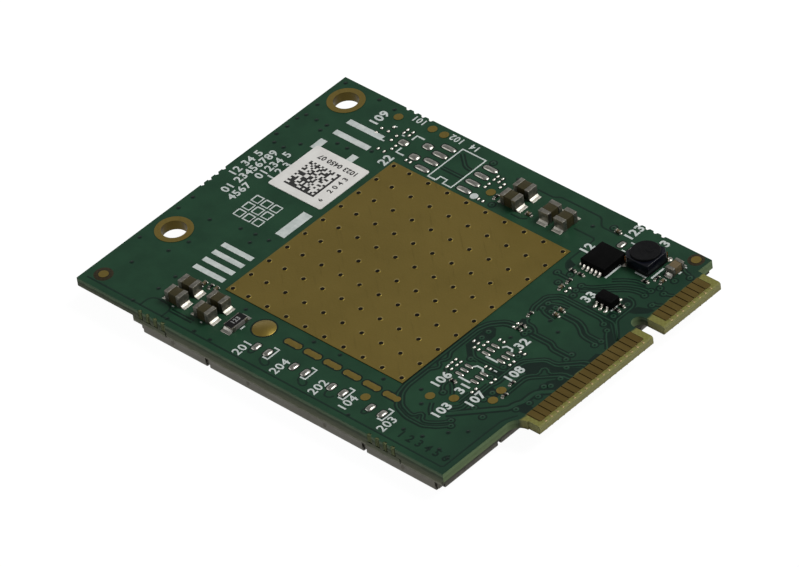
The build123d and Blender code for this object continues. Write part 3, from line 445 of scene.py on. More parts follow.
pair_tracks = [
    [(39.3, 18.1), (38.3, 18.25), (37.1, 19.4), (36.65, 20.6), (36.65, 30.6), (37.0, 32.0), (38.2, 33.4),
     (39.9, 33.95), (42.0, 33.95), (43.3, 33.2), (44.15, 32.3)],
    [(39.3, 18.55), (38.5, 18.65), (37.4, 19.75), (37.0, 20.8), (37.0, 24.8), (37.35, 25.1), (37.5, 25.6),
     (37.1, 26.1), (37.1, 26.4), (37.6, 26.7), (37.5, 27.2), (37.05, 27.5), (37.05, 30.6), (37.4, 31.7),
     (38.5, 32.9), (39.9, 33.35), (40.4, 33.3), (40.5, 32.8), (40.9, 32.6), (41.2, 33.0), (41.4, 33.35),
     (42.0, 33.3), (43.0, 32.6), (43.65, 31.9)],
    [(41.5, 18.0), (43.95, 18.0), (44.55, 18.42), (46.5, 18.42)],
    [(41.5, 18.45), (43.9, 18.45), (44.5, 18.85), (46.5, 18.85)],
    [(42.1, 14.2), (43.9, 14.2), (44.9, 14.6), (45.7, 15.2), (47.5, 15.2)],
    [(42.1, 14.65), (43.8, 14.65), (44.7, 15.1), (45.3, 15.6), (46.0, 15.78), (47.3, 15.8)],
    [(48.7, 14.25), (46.9, 12.6), (46.5, 12.45), (40.0, 12.45), (38.87, 13.4), (38.87, 15.3), (39.2, 15.8)],
    [(46.05, 13.2), (45.35, 12.8), (40.2, 12.75), (39.23, 13.6), (39.23, 15.1), (39.5, 15.6)],
    [(45.2, 9.0), (46.0, 9.0), (46.6, 9.6), (46.6, 12.1), (48.7, 14.25)],
    [(46.9, 13.7), (47.3, 14.3), (48.7, 15.7)],
    [(46.45, 7.05), (45.3, 7.2), (44.3, 7.6), (43.5, 8.1), (42.6, 8.9), (41.5, 9.9), (40.6, 10.3)],
    [(46.45, 7.85), (45.4, 7.9), (44.5, 8.25), (43.6, 8.95), (42.3, 10.0), (41.0, 10.9)],
    [(45.6, 6.6), (44.4, 6.7), (43.4, 7.2), (42.4, 8.0)],
    [(48.7, 18.15), (48.2, 18.2), (46.2, 20.05), (45.0, 20.1), (43.3, 21.7), (43.2, 22.2), (43.2, 25.6)],
    [(48.7, 18.7), (48.3, 18.75), (46.5, 20.35), (45.1, 20.4), (43.8, 21.6), (43.6, 22.2), (43.6, 25.4),
     (43.35, 25.9), (43.35, 30.1), (42.6, 30.9)],
    [(48.7, 20.5), (47.7, 20.6), (46.6, 21.5), (46.05, 21.0), (45.6, 21.2), (45.6, 21.6), (45.9, 22.1),
     (45.2, 22.8), (44.95, 23.2), (44.95, 24.6)],
    [(48.7, 20.95), (47.8, 21.05), (45.6, 23.0), (45.35, 23.4), (45.35, 26.0)],
    [(37.4, 10.2), (38.9, 10.25)], [(39.75, 14.0), (40.8, 13.5), (41.8, 13.4)],
    [(39.75, 14.85), (40.3, 15.3), (41.8, 15.5)],
    [(39.7, 16.8), (39.9, 17.3), (41.0, 17.35), (41.7, 17.95)],
    [(38.2, 22.9), (39.3, 23.9), (42.7, 23.85), (43.0, 23.6)], [(39.2, 24.2), (39.9, 24.1)],
    [(38.2, 26.6), (39.0, 27.3)], [(39.6, 27.6), (39.6, 28.6), (40.2, 29.2)],
    [(40.1, 27.9), (40.6, 28.3), (41.2, 29.0)], [(42.4, 27.9), (42.4, 29.5)],
    [(43.0, 26.0), (43.0, 29.9), (42.3, 30.5)], [(46.5, 2.5), (47.2, 3.0), (47.9, 3.1)],
    [(47.6, 6.5), (48.3, 6.5), (48.7, 6.2)], [(47.7, 8.2), (48.2, 8.3), (48.7, 7.9)],
    [(40.5, 31.0), (41.0, 31.8), (41.6, 32.3)], [(17.9, 2.3), (19.5, 3.6), (20.3, 3.7)],
    [(17.7, 5.0), (20.4, 5.0)], [(11.1, 35.9), (14.0, 35.9)],
]
wide_tracks = [
    [(48.7, 23.1), (47.6, 24.0), (47.35, 24.5), (47.35, 26.0), (46.95, 26.6), (46.9, 27.3), (44.6, 29.5),
     (42.6, 31.4)],
]
bare_patches = [
    [(43.75, 22.2), (43.95, 21.7), (45.1, 20.6), (46.5, 20.55), (48.6, 19.0), (48.6, 20.3), (47.6, 20.4),
     (46.6, 21.2), (46.05, 20.8), (45.45, 21.1), (45.45, 21.7), (45.7, 22.1), (44.9, 22.8), (44.3, 22.6)],
    [(48.7, 16.6), (48.7, 17.95), (48.3, 17.95), (48.25, 16.8)],
    [(46.2, 12.6), (48.7, 14.6), (48.7, 15.3), (47.2, 13.9), (46.6, 13.6)],
    [(46.9, 9.5), (48.2, 8.9), (48.6, 8.9), (48.4, 9.6), (47.4, 10.4), (46.8, 10.6)],
    [(48.65, 21.2), (48.65, 22.9), (47.5, 23.8), (47.5, 25.9), (48.65, 25.9), (48.65, 27.0), (47.1, 27.3),
     (47.0, 26.7), (47.2, 26.2), (47.2, 23.9), (47.2, 22.4), (47.9, 21.4)],
    [(41.9, 24.0), (43.05, 24.0), (43.05, 24.6), (41.9, 24.6)],
    [(43.6, 26.0), (44.9, 26.3), (44.9, 26.9), (44.0, 27.2), (43.6, 27.9)],
    [(37.4, 19.7), (38.2, 19.6), (38.9, 20.5), (38.9, 21.2), (38.3, 21.6), (38.2, 22.8), (39.1, 23.6),
     (38.8, 24.3), (37.4, 23.0)],
    [(37.15, 8.0), (38.1, 8.3), (38.1, 9.1), (37.7, 9.1), (37.2, 8.7)],
    [(44.0, 29.4), (44.9, 29.4), (43.8, 30.5), (43.4, 30.5), (43.5, 29.9)],
    [(39.7, 14.0), (40.8, 13.9), (40.9, 14.9), (39.8, 14.8)],
    [(40.8, 17.6), (41.5, 17.9), (41.5, 18.6), (41.0, 19.0), (40.6, 18.3)],
    [(39.2, 17.1), (39.6, 16.9), (40.1, 17.3), (39.9, 17.8), (39.3, 17.7)],
    [(40.6, 33.5), (40.8, 33.0), (41.05, 33.5)], [(38.1, 9.3), (38.9, 9.3), (38.9, 10.0), (38.2, 9.9)],
    [(45.0, 9.2), (46.2, 9.2), (46.3, 9.9), (45.3, 9.9)],
    [(45.3, 11.5), (46.2, 11.3), (46.3, 12.2), (45.4, 12.2)],
    [(43.0, 12.0), (43.6, 12.0), (43.7, 12.3), (42.9, 12.3)],
]
pour_edges = [
    [(27.6, 2.05), (29.7, 2.05), (30.1, 1.6), (35.4, 1.6), (36.3, 2.65), (38.6, 2.65)],
    [(34.3, 4.35), (37.05, 4.35), (37.05, 8.5), (37.7, 9.25), (38.2, 9.3)],
    [(27.9, 6.3), (29.2, 6.3), (29.7, 5.9)],
    [(8.1, 37.1), (8.1, 35.9), (8.6, 35.4), (10.5, 35.4), (11.0, 35.9), (11.0, 37.1)],
    [(23.0, 35.3), (22.8, 35.9), (23.6, 36.5), (24.2, 36.4), (24.2, 35.9), (23.8, 35.7)],
    [(27.9, 35.3), (27.8, 35.9), (28.6, 36.5), (29.1, 36.4), (29.1, 35.9), (28.7, 35.7)],
    [(31.3, 35.4), (31.3, 36.0), (31.8, 36.3), (32.3, 36.0), (32.3, 35.7)],
    [(21.2, 35.4), (21.2, 35.8), (21.5, 36.0), (21.8, 35.8), (21.8, 35.4)],
    [(35.9, 35.4), (35.9, 35.8), (36.2, 36.0), (36.5, 35.8), (36.5, 35.4)],
    [(0.95, 37.05), (22.3, 37.05), (47.45, 37.05), (47.45, 31.0), (47.5, 29.0), (48.2, 27.6)],
    [(46.3, 2.4), (47.1, 3.0), (48.6, 3.1)],
]


corner_cut = 0.22
side_share = 0.4


def rounded(route):
    """The route with each inner corner cut short on both sides, as tracks are drawn."""
    points = [Vector(point) for point in route]
    made = [points[0]]
    for before, corner, after in zip(points, points[1:], points[2:]):
        cut = min(corner_cut, (corner - before).length * side_share, (after - corner).length * side_share)
        made.append(corner + (before - corner).normalized() * cut)
        made.append(corner + (after - corner).normalized() * cut)
    return [tuple(point) for point in made + [points[-1]]]


gap_builder = bmesh.new()
track_builder = bmesh.new()
gap_height, track_height = 0.008, 0.016
for routes, gap_width, track_width in ((pair_tracks, 0.54, 0.21), (wide_tracks, 0.95, 0.6)):
    for route in routes:
        lay_strip(gap_builder, rounded(route), gap_width, gap_height)
        lay_strip(track_builder, rounded(route), track_width, track_height)
for outline in bare_patches:
    corners = [gap_builder.verts.new(on_board(right, down, 0.004)) for right, down in reversed(outline)]
    gap_builder.faces.new(corners)
faint_builder = bmesh.new()
for route in pour_edges:
    lay_strip(faint_builder, rounded(route), 0.21, 0.006)

ringed_vias = [
    (21.35, 1.6), (25.5, 6.35), (37.4, 2.1), (37.4, 10.15), (38.65, 9.7), (38.45, 11.2), (40.6, 10.3),
    (40.6, 11.1), (40.9, 11.8), (47.3, 4.6), (46.9, 6.2), (47.7, 6.6), (47.9, 8.5), (45.95, 9.75),
    (46.0, 11.8), (46.05, 13.2), (46.9, 13.7), (47.5, 15.2), (47.35, 15.95), (46.5, 18.25), (46.55, 19.05),
    (47.95, 21.4), (47.9, 22.7), (47.45, 23.15), (47.95, 24.5), (47.9, 25.7), (47.35, 19.9), (46.45, 7.0),
    (46.4, 7.85), (43.65, 31.8), (44.15, 32.35), (47.5, 27.05), (45.7, 29.7), (44.2, 29.2), (37.95, 20.4),
    (38.0, 21.4), (42.6, 21.4), (42.5, 23.3), (39.2, 24.25), (42.5, 25.1), (44.15, 26.65), (44.1, 27.8),
    (39.75, 14.05), (39.8, 14.85), (40.75, 14.1), (40.8, 14.75), (41.0, 18.1), (40.9, 18.6), (40.35, 29.3),
    (48.2, 3.4),
]
plain_vias = [
    (0.95, 0.9), (5.5, 0.9), (7.8, 1.15), (1.0, 5.0), (1.2, 6.8), (2.6, 6.8), (4.0, 6.8), (0.85, 7.7),
    (4.0, 7.75), (6.8, 8.25), (8.1, 8.25), (0.9, 9.2), (0.85, 10.65), (3.9, 10.45), (1.6, 11.75),
    (2.9, 11.8), (10.4, 7.2), (0.95, 22.5), (0.95, 24.5), (4.7, 24.0), (8.1, 23.2), (8.0, 21.6),
    (9.9, 23.0), (11.6, 22.9), (10.3, 24.2), (4.7, 29.7), (1.0, 29.9), (7.1, 37.0), (11.7, 37.0),
    (15.1, 36.8), (17.2, 36.8), (8.0, 32.1), (7.9, 34.3), (16.9, 31.6), (25.5, 31.2), (28.8, 31.1),
    (34.5, 31.2), (38.4, 30.2), (39.8, 31.7), (35.3, 36.9), (43.0, 35.0), (44.6, 33.2), (46.0, 32.0),
    (45.5, 35.4), (47.0, 35.9), (40.9, 35.3), (43.5, 12.0), (41.6, 15.8), (43.3, 16.6), (42.7, 20.9),
    (40.2, 19.8), (44.3, 9.5), (38.2, 5.9), (35.6, 3.1), (33.2, 5.6), (30.5, 3.2), (25.0, 2.0),
    (16.5, 8.3), (13.8, 8.5), (3.0, 33.0), (5.4, 27.6),
]
hole_builder = bmesh.new()
gap_radius, land_radius, mouth_radius = 0.46, 0.31, 0.13
# Each via mouth is a dark disc: darker mask over the hole, with painted shade of its dip. The plain vias' discs
# sit a little off centre.
for right, down in ringed_vias:
    lay_disc(gap_builder, right, down, gap_radius, 0.009)
    lay_disc(track_builder, right, down, land_radius, 0.018)
    lay_disc(hole_builder, right, down, mouth_radius, 0.021, 10)
for right, down in plain_vias:
    lay_disc(faint_builder, right, down, 0.25, 0.01)
    lay_disc(hole_builder, right - 0.02, down - 0.02, 0.16, 0.013, 12)
keep_piece("copper_gaps", gap_builder, gap_finish)
keep_piece("narrow_copper_gaps", faint_builder, faint_finish)
keep_piece("covered_tracks", track_builder, track_finish)
mouth_finish = covered_finish("mask_in_via", tone(10, 26, 20), 0.3)
keep_piece("covered_via_mouths", hole_builder, mouth_finish)

# Gold
# Nickel and a little gold over copper on the heat pad, the contacts, the hole rings and the round pads.
# The field is slightly orange-peeled and holds faint handling scratches.
scratches, take, give = new_effect("scratches", {"Along": 60.0, "Across": 2500.0, "Turn": 0.6}, ["Lines"])
coordinates = put_node(scratches, "ShaderNodeTexCoord").outputs["Object"]
swing = put_node(scratches, "ShaderNodeCombineXYZ", {2: take["Turn"]}).outputs[0]
stretch = put_node(scratches, "ShaderNodeCombineXYZ", {0: take["Along"], 1: take["Across"], 2: 1.0})
turned = put_node(scratches, "ShaderNodeMapping", {"Vector": coordinates, "Rotation": swing})
laid = put_node(scratches, "ShaderNodeVectorMath", {0: turned.outputs[0], 1: stretch.outputs[0]},
                operation="MULTIPLY")
thin = put_node(scratches, "ShaderNodeTexNoise", {"Vector": laid.outputs[0], "Scale": 1.0, "Detail": 2.0})
scratches.links.new(between(scratches, thin.outputs[0], 0.62, 0.7), give["Lines"])


def gold_finish(name, colour, darker, scratch_turn, peel):
    """Thin gold over nickel and copper."""
    finish, tree, shader = new_finish(name, Metallic=1.0)
    grains = use_effect(tree, grain, Speckle=4200.0, Mottle=160.0)
    lines = use_effect(tree, scratches, Along=180.0, Across=5200.0, Turn=scratch_turn)
    upright = compute(tree, "ABSOLUTE", axes_of(tree, "ShaderNodeNewGeometry", "True Normal")[2])
    field = mix_tones(tree, grains["Mottle"], darker, colour)
    # Painted shade: faces that do not look up are dimmed to a third of the darker gold.
    lit = mix_tones(tree, between(tree, upright, 0.1, 0.4), dimmed(darker, 0.3), field)
    tree.links.new(lit, shader.inputs["Base Color"])
    tree.links.new(between(tree, lines["Lines"], 0.0, 1.0, 0.42, 0.3), shader.inputs["Roughness"])
    bump(tree, shader, compute(tree, "MULTIPLY_ADD", lines["Lines"], -0.25, grains["Speckle"]), peel)
    return finish


pad_gold = gold_finish("heat_pad_gold", tone(141, 122, 61), tone(134, 116, 57), 0.7, 0.004)
contact_gold = gold_finish("contact_gold", tone(125, 106, 56), tone(109, 91, 45), 0.02, 0.003)
for name in ("heat_pad", "hole_plating_far", "hole_plating_near", "test_pads", "alignment_marks"):
    dress(name, pad_gold)
for name in ("edge_contacts_upper", "edge_contacts_lower"):
    dress(name, contact_gold)


weld_reach = 0.0005 * MM


def islands(name):
    """The lowest and highest corner of each separate solid of a node of the frame."""
    builder = bmesh.new()
    builder.from_mesh(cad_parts[name].data)
    bmesh.ops.remove_doubles(builder, verts=builder.verts, dist=weld_reach)
    left, found = set(builder.verts), []
    while left:
        front = [left.pop()]
        island = list(front)
        while front:
            vertex = front.pop()
            for edge in vertex.link_edges:
                other = edge.other_vert(vertex)
                if other in left:
                    left.remove(other)
                    front.append(other)
                    island.append(other)
        low = Vector(min(v.co[axis] for v in island) for axis in range(3))
        high = Vector(max(v.co[axis] for v in island) for axis in range(3))
        found.append((low, high))
    builder.free()
    return sorted(found, key=lambda corners: (round(corners[0].x, 6), round(corners[0].y, 6)))


# Vias of the heat pad
# Drilled holes carry the radio module's heat through the board, in columns of one pitch but for the first step.
# Each hole has a plated, slightly raised lip. Inside it a dark disc, set off to one side, is painted shade, and
# the paler gold crescent of the plated wall left beside it is painted light.
pad_low, pad_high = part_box("heat_pad")
via_inset = 0.46 * MM
via_reach = 0.19 * MM
via_pitch = 2.5
first_step = 2.05
via_radius = 0.265
lip_sides = 14
lip_sink = 0.03 * MM
lip_profile = ((via_radius, 0.012), (0.29, 0.014), (0.315, 0.004), (0.335, -0.008))
lip_builder = bmesh.new()
wall_builder = bmesh.new()
via_shade_builder = bmesh.new()
for right in [0.0] + [first_step + via_pitch * n for n in range(9)]:
    for down in [via_pitch * n for n in range(10)]:
        x, y = pad_low.x + via_inset + right * MM, pad_high.y - via_inset - down * MM
        if x + via_reach < pad_high.x and y - via_reach > pad_low.y:
            add_round(wall_builder, (x, y, pad_high.z), 0.27 * MM, 0.27 * MM, 0.04 * MM, 12)
            # Painted shade: a dark disc set off to the near right, so the paler wall shows as a painted lit
            # crescent at the far left.
            dark = (x + 0.035 * MM, y - 0.035 * MM, pad_high.z + 0.016 * MM)
            add_round(via_shade_builder, dark, 0.225 * MM, 0.225 * MM, 0.02 * MM, 12)
            ring = bmesh.ops.create_circle(lip_builder, segments=lip_sides, radius=via_radius * MM,
                                           matrix=Matrix.Translation((x, y, pad_high.z - lip_sink)))
            inner = ring["verts"]
            for radius, rise in lip_profile:
                edges = [e for e in lip_builder.edges if e.is_boundary or e.is_wire]
                edges = [e for e in edges if all(v in inner for v in e.verts)]
                grown = bmesh.ops.extrude_edge_only(lip_builder, edges=edges)
                inner = [v for v in grown["geom"] if isinstance(v, bmesh.types.BMVert)]
                for vertex in inner:
                    away = Vector((vertex.co.x - x, vertex.co.y - y, 0)).normalized() * radius * MM
                    vertex.co = Vector((x, y, pad_high.z + rise * MM)) + away
bmesh.ops.recalc_face_normals(lip_builder, faces=lip_builder.faces)
via_shade_finish = grained_finish("via_painted_shade", tone(9, 7, 3), tone(20, 16, 7), 9000.0, 3000.0, Roughness=0.8,
                             Specular_IOR_Level=0.1)
wall_finish = grained_finish("via_wall", tone(132, 116, 66), tone(160, 144, 92), 9000.0, 3000.0, Metallic=0.6,
                             Roughness=0.5)
keep_piece("heat_pad_via_lips", lip_builder, pad_gold)
keep_piece("heat_pad_via_walls", wall_builder, wall_finish)
keep_piece("heat_pad_via_painted_shade", via_shade_builder, via_shade_finish)

# Tails of the contacts and the gaps between them
# The track that carried the plating current leaves each contact and is cut off with the tongue's sloped edge.
# A dark strip in the narrow gap on each side of a contact stands for the darker laminate there, with painted
# shade of the groove.
tail_builder = bmesh.new()
filler_builder = bmesh.new()
contact_gap = 0.1 * MM
tail_width = 0.1 * MM
tail_height = 0.026 * MM
groove_shade_height = 0.012 * MM
tail_stop = 0.1 * MM
bevel_turn = Matrix.Rotation(math.radians(30), 4, "Y")
tip_x = board_high.x
for name in ("edge_contacts_upper", "edge_contacts_lower"):
    for low, high in islands(name):
        side = 1 if low.z > (board_under + board_top) / 2 else -1
        face = board_top if side > 0 else board_under
        reach = tip_x - tail_stop - high.x
        middle = Vector((high.x + reach / 2, (low.y + high.y) / 2, face + side * 0.01 * MM))
        add_block(tail_builder, middle, (reach, tail_width, tail_height))
        if side > 0:
            cut = Vector((tip_x - 0.11 * MM, middle.y, face - 0.01 * MM))
            add_block(tail_builder, cut, (0.1 * MM, 0.17 * MM, 0.03 * MM), bevel_turn)
        for edge_y in (low.y - contact_gap / 2, high.y + contact_gap / 2):
            # Painted shade: a dark strip in each gap beside a contact, over the darker laminate.
            middle = Vector(((low.x + high.x) / 2 - 0.05 * MM, edge_y, face + side * groove_shade_height / 2))
            add_block(filler_builder, middle, (high.x - low.x - 0.06 * MM, contact_gap, groove_shade_height))
cut_copper = grained_finish("cut_plating_copper", tone(126, 106, 66), tone(152, 132, 92), 9000.0, 2500.0,
                            Metallic=0.5, Roughness=0.5)
keep_piece("contact_tails", tail_builder, cut_copper, False)
filler = grained_finish("painted_groove_shade", tone(54, 44, 16), tone(72, 59, 25), 9000.0, 1500.0, Roughness=0.7,
                        Specular_IOR_Level=0.1)
keep_piece("contact_gap_painted_shade", filler_builder, filler, False)

# Bare rings round the alignment marks
# The mask is left off round the two marks that the placing machine looks for, so brown laminate shows.
# The far one comes close to the board's edge, and ends just inside it.
clearing_builder = bmesh.new()
ring_reach = 0.98 * MM
edge_clearance = 0.02 * MM
for low, high in islands("alignment_marks"):
    middle = (low + high) / 2
    reach = min(ring_reach, board_high.y - abs(middle.y) - edge_clearance)
    foot = (middle.x, middle.y, board_top + 0.004 * MM)
    add_round(clearing_builder, foot, reach, reach - 0.03 * MM, 0.008 * MM, 40)
clearing_finish, tree, shader = new_finish("bare_laminate", Roughness=0.6, Specular_IOR_Level=0.15)
bundles = use_effect(tree, weave, Pitch=fibre_pitch)
weave_tones = mix_tones(tree, bundles["Height"], tone(36, 30, 17), tone(46, 39, 22))
tree.links.new(weave_tones, shader.inputs["Base Color"])
keep_piece("mark_clearings", clearing_builder, clearing_finish)

# Bare gold bars by the near edge
# A disc and a row of plain bars are left open in the mask, each in a narrow ring without copper.
# The bars are wide lines with round ends.
bar_builder = bmesh.new()
bar_gap_builder = bmesh.new()
bar_down = 32.55
bar_length = 1.35
lay_disc(bar_gap_builder, 20.25, bar_down, 1.36, 0.005, 40, 1.0)
lay_disc(bar_builder, 20.25, bar_down, 1.2, 0.03, 40, 0.97)
for left in [23.4 + 2.55 * n for n in range(6)]:
    ends = [(left, bar_down), (left + bar_length, bar_down)]
    for builder, radius, height, rim in ((bar_gap_builder, 0.53, 0.005, 1.0),
                                         (bar_builder, 0.37, 0.03, 0.95)):
        lay_strip(builder, ends, 2 * radius, height)
        for right, down in ends:
            lay_disc(builder, right, down, radius, height, 24, rim)
keep_piece("gold_bar_gaps", bar_gap_builder, gap_finish)
keep_piece("gold_bars", bar_builder, pad_gold)

# Printed marks
# White ink is screened over the mask: outlines of parts, pin marks, writing fields and plain numbers.
# The ink has a soft mottle and a fine grain.
ink = grained_finish("white_ink", tone(174, 181, 177), tone(196, 201, 197), 7000.0, 1400.0, 0.003,
                     Roughness=0.55)
ink_height = 0.022

mark_builder = bmesh.new()
part_outlines = [
    [(18.5, 6.75), (17.45, 6.75), (17.45, 1.75), (20.5, 1.75), (20.5, 6.75), (19.4, 6.75), (19.4, 6.1),
     (18.5, 6.1), (18.5, 6.75)],
    [(12.4, 3.6), (12.4, 2.85), (13.4, 2.85)], [(12.4, 5.1), (12.4, 5.85), (13.4, 5.85)],
    [(41.65, 5.0), (41.65, 8.1)], [(43.4, 5.8), (44.8, 5.8)], [(45.25, 3.8), (45.25, 5.6)],
    [(45.3, 10.4), (45.3, 11.4)], [(40.1, 23.15), (41.65, 23.15)], [(40.0, 26.8), (41.5, 26.8)],
    [(40.5, 21.3), (40.75, 20.95), (41.45, 20.95), (41.7, 21.3)],
    [(40.15, 25.0), (40.4, 24.65), (41.1, 24.65), (41.4, 25.0)],
]
short_marks = [
    [(9.15, 35.05), (9.65, 35.05)], [(10.75, 35.35), (11.0, 35.35)], [(13.05, 35.1), (13.55, 35.1)],
    [(14.6, 35.45), (14.85, 35.45)], [(18.5, 33.4), (18.5, 34.0)], [(40.2, 2.75), (40.65, 2.75)],
    [(40.2, 4.1), (40.65, 4.1)], [(46.6, 2.5), (47.0, 2.5)], [(46.95, 3.2), (46.95, 3.6)],
    [(9.5, 3.0), (9.9, 3.0)], [(11.1, 3.6), (11.45, 3.6)], [(9.9, 5.3), (10.3, 5.3)],
    [(42.1, 24.2), (42.5, 24.2)], [(38.1, 26.0), (38.1, 26.4)], [(45.5, 3.4), (45.5, 3.7)],
]
outline_width, mark_width, square_width = 0.22, 0.17, 0.18
for right in (23.0, 27.9, 32.8, 37.8):
    part_outlines.append([(right, 34.0), (right + 0.62, 34.0), (right + 0.62, 35.6), (right, 35.6)])
for route in part_outlines:
    lay_strip(mark_builder, route, outline_width, ink_height)
for route in short_marks:
    lay_strip(mark_builder, route, mark_width, ink_height)
lay_disc(mark_builder, 23.2, 6.4, 0.43, ink_height, 24, 0.95)


def ink_field(builder, left, right, near, far):
    """A filled block of ink, from one side to the other and from one end to the other."""
    low, high = on_board(left, near), on_board(right, far, ink_height)
    add_block(builder, (low + high) / 2, high - low)


ink_field(mark_builder, 11.35, 12.55, 21.8, 17.8)
ink_field(mark_builder, 4.95, 5.8, 10.2, 8.6)
ink_field(mark_builder, 9.2, 10.0, 9.6, 8.6)
square_side = 0.9
for right in (5.9, 7.15, 8.4):
    for down in (18.6, 19.85, 21.1):
        ahead, below = right + square_side, down + square_side
        square = [(right, down), (ahead, down), (ahead, below), (right, below), (right, down)]
        lay_strip(mark_builder, square, square_width, ink_height)
ink_field(mark_builder, 5.3, 9.9, 5.45, 4.75)
ink_field(mark_builder, 5.3, 9.9, 7.4, 6.7)
for down in (25.6, 26.9, 28.2, 29.5):
    ink_field(mark_builder, 8.3, 12.3, down + 0.62, down)
keep_piece("printed_marks", mark_builder, ink, False)

font_share = 1.38
quarter_turn = 90


def print_number(builder, text, right, down, height, turn, low=0.0, high=ink_height, heavy=0.045):
    """Plain digits of a height in mm, about a place on the board, turned by degrees."""
    digits = bpy.data.curves.new("digits", "FONT")
    digits.body = text
    digits.size = height * font_share * MM
    digits.align_x = "CENTER"
    digits.align_y = "CENTER"
    digits.offset = heavy * MM
    digits.space_character = 1.08
    digits.extrude = (high - low) / 2 * MM
    digits.resolution_u = 4
    holder = bpy.data.objects.new("digits", digits)
    mesh = bpy.data.meshes.new_from_object(holder)
    middle = on_board(right, down, (low + high) / 2)
    mesh.transform(Matrix.Translation(middle) @ Matrix.Rotation(math.radians(turn), 4, "Z"))
    builder.from_mesh(mesh)
    bpy.data.objects.remove(holder)
    bpy.data.curves.remove(digits)
    bpy.data.meshes.remove(mesh)


number_builder = bmesh.new()
number_rows = [
    (1.05, quarter_turn, 0.045, [
        ("109", 7.5, 3.0), ("22", 12.5, 7.4), ("123", 39.5, 1.5), ("3", 43.0, 1.0), ("12", 37.4, 5.9),
        ("33", 42.3, 11.1), ("32", 41.75, 19.85), ("31", 41.5, 27.8), ("106", 39.0, 28.1),
        ("107", 43.5, 28.3), ("108", 44.05, 23.5), ("103", 42.0, 31.3)]),
    (1.0, quarter_turn, 0.022, [
        ("201", 20.55, 35.8), ("204", 25.35, 35.7), ("202", 30.35, 35.7), ("104", 34.15, 35.7),
        ("203", 39.2, 35.7)]),
    (0.8, 2 * quarter_turn, 0.02, [("101", 11.0, 0.95), ("102", 16.0, 0.95), ("14", 18.35, 0.95)]),
    (0.95, quarter_turn, 0.032, [
        ("12 34 5", 1.55, 15.7), ("01 23456789", 2.75, 16.4), ("4567", 4.05, 19.2), ("01234 5", 4.0, 14.4),
        ("1 2 3", 5.15, 14.7)]),
]
for height, turn, heavy, numbers in number_rows:
    for text, right, down in numbers:
        print_number(number_builder, text, right, down, height, turn, heavy=heavy)
keep_piece("printed_numbers", number_builder, ink, False)

etched_builder = bmesh.new()
print_number(etched_builder, "1 2 3 4 5 6", 44.0, 35.95, 0.95, 0, 0.0, 0.012, 0.03)
keep_piece("etched_numbers", etched_builder, gap_finish, False)

# Paper label
# A square of coated paper is stuck to the mask, printed with small black squares and rows of numbers.
# The paper is slightly warm, with a soft fibre mottle.
paper = grained_finish("label_paper", tone(206, 203, 198), tone(216, 214, 209), 3500.0, 500.0, 0.002,
                       Roughness=0.6)
dress("paper_label", paper)
label_ink = grained_finish("label_ink", tone(13, 13, 12), tone(26, 25, 23), 9000.0, 2000.0, Roughness=0.5)
label_builder = bmesh.new()
field_cells = 16
cell = 0.25
field_left, field_far = 6.6, 11.7
chance = random.Random(11)
label_face = off_board(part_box("paper_label")[1])[2]
dark_share = 0.52
for column in range(field_cells):
    for row in range(field_cells):
        framed = column == field_cells - 1 or row == field_cells - 1
        dotted = (row == 0 and column % 2 == 0) or (column == 0 and row % 2 == 1)
        inside = 0 < column < field_cells - 1 and 0 < row < field_cells - 1 and chance.random() < dark_share
        if framed or dotted or inside:
            middle = on_board(field_left + (column + 0.5) * cell, field_far + (row + 0.5) * cell, label_face)
            add_block(label_builder, middle, (cell * MM, cell * MM, 0.006 * MM))
for text, right, down, height, turn, heavy in (
    ("1023 0450 07", 9.3, 10.75, 0.62, 2 * quarter_turn, 0.03),
    ("2 0 4 3", 11.35, 13.0, 0.62, quarter_turn, 0.022), ("6", 11.5, 15.6, 0.5, quarter_turn, 0.022),
):
    print_number(label_builder, text, right, down, height, turn, label_face, label_face + 0.004, heavy)
keep_piece("label_print", label_builder, label_ink, False)

# Solder on the bare pads
# Every pad without a part carries its own low pillow of reflowed tin, rounded by its surface tension.
# Flux leaves the metal slightly dull between bright crests.
solder, tree, shader = new_finish("reflowed_tin", Metallic=1.0)
grains = use_effect(tree, grain, Speckle=5200.0, Mottle=1800.0)
tin_tones = mix_tones(tree, grains["Mottle"], tone(140, 138, 131), tone(168, 166, 158))
tree.links.new(tin_tones, shader.inputs["Base Color"])
tree.links.new(between(tree, grains["Speckle"], 0.0, 1.0, 0.26, 0.38), shader.inputs["Roughness"])
bump(tree, shader, grains["Mottle"], 0.005)
bright_tin = grained_finish("bright_tin", tone(196, 191, 181), tone(222, 218, 208), 5200.0, 1800.0,
                            Metallic=1.0, Roughness=0.32)
halo_builder = bmesh.new()
halo_height = 0.006 * MM
halo_corner = 0.4


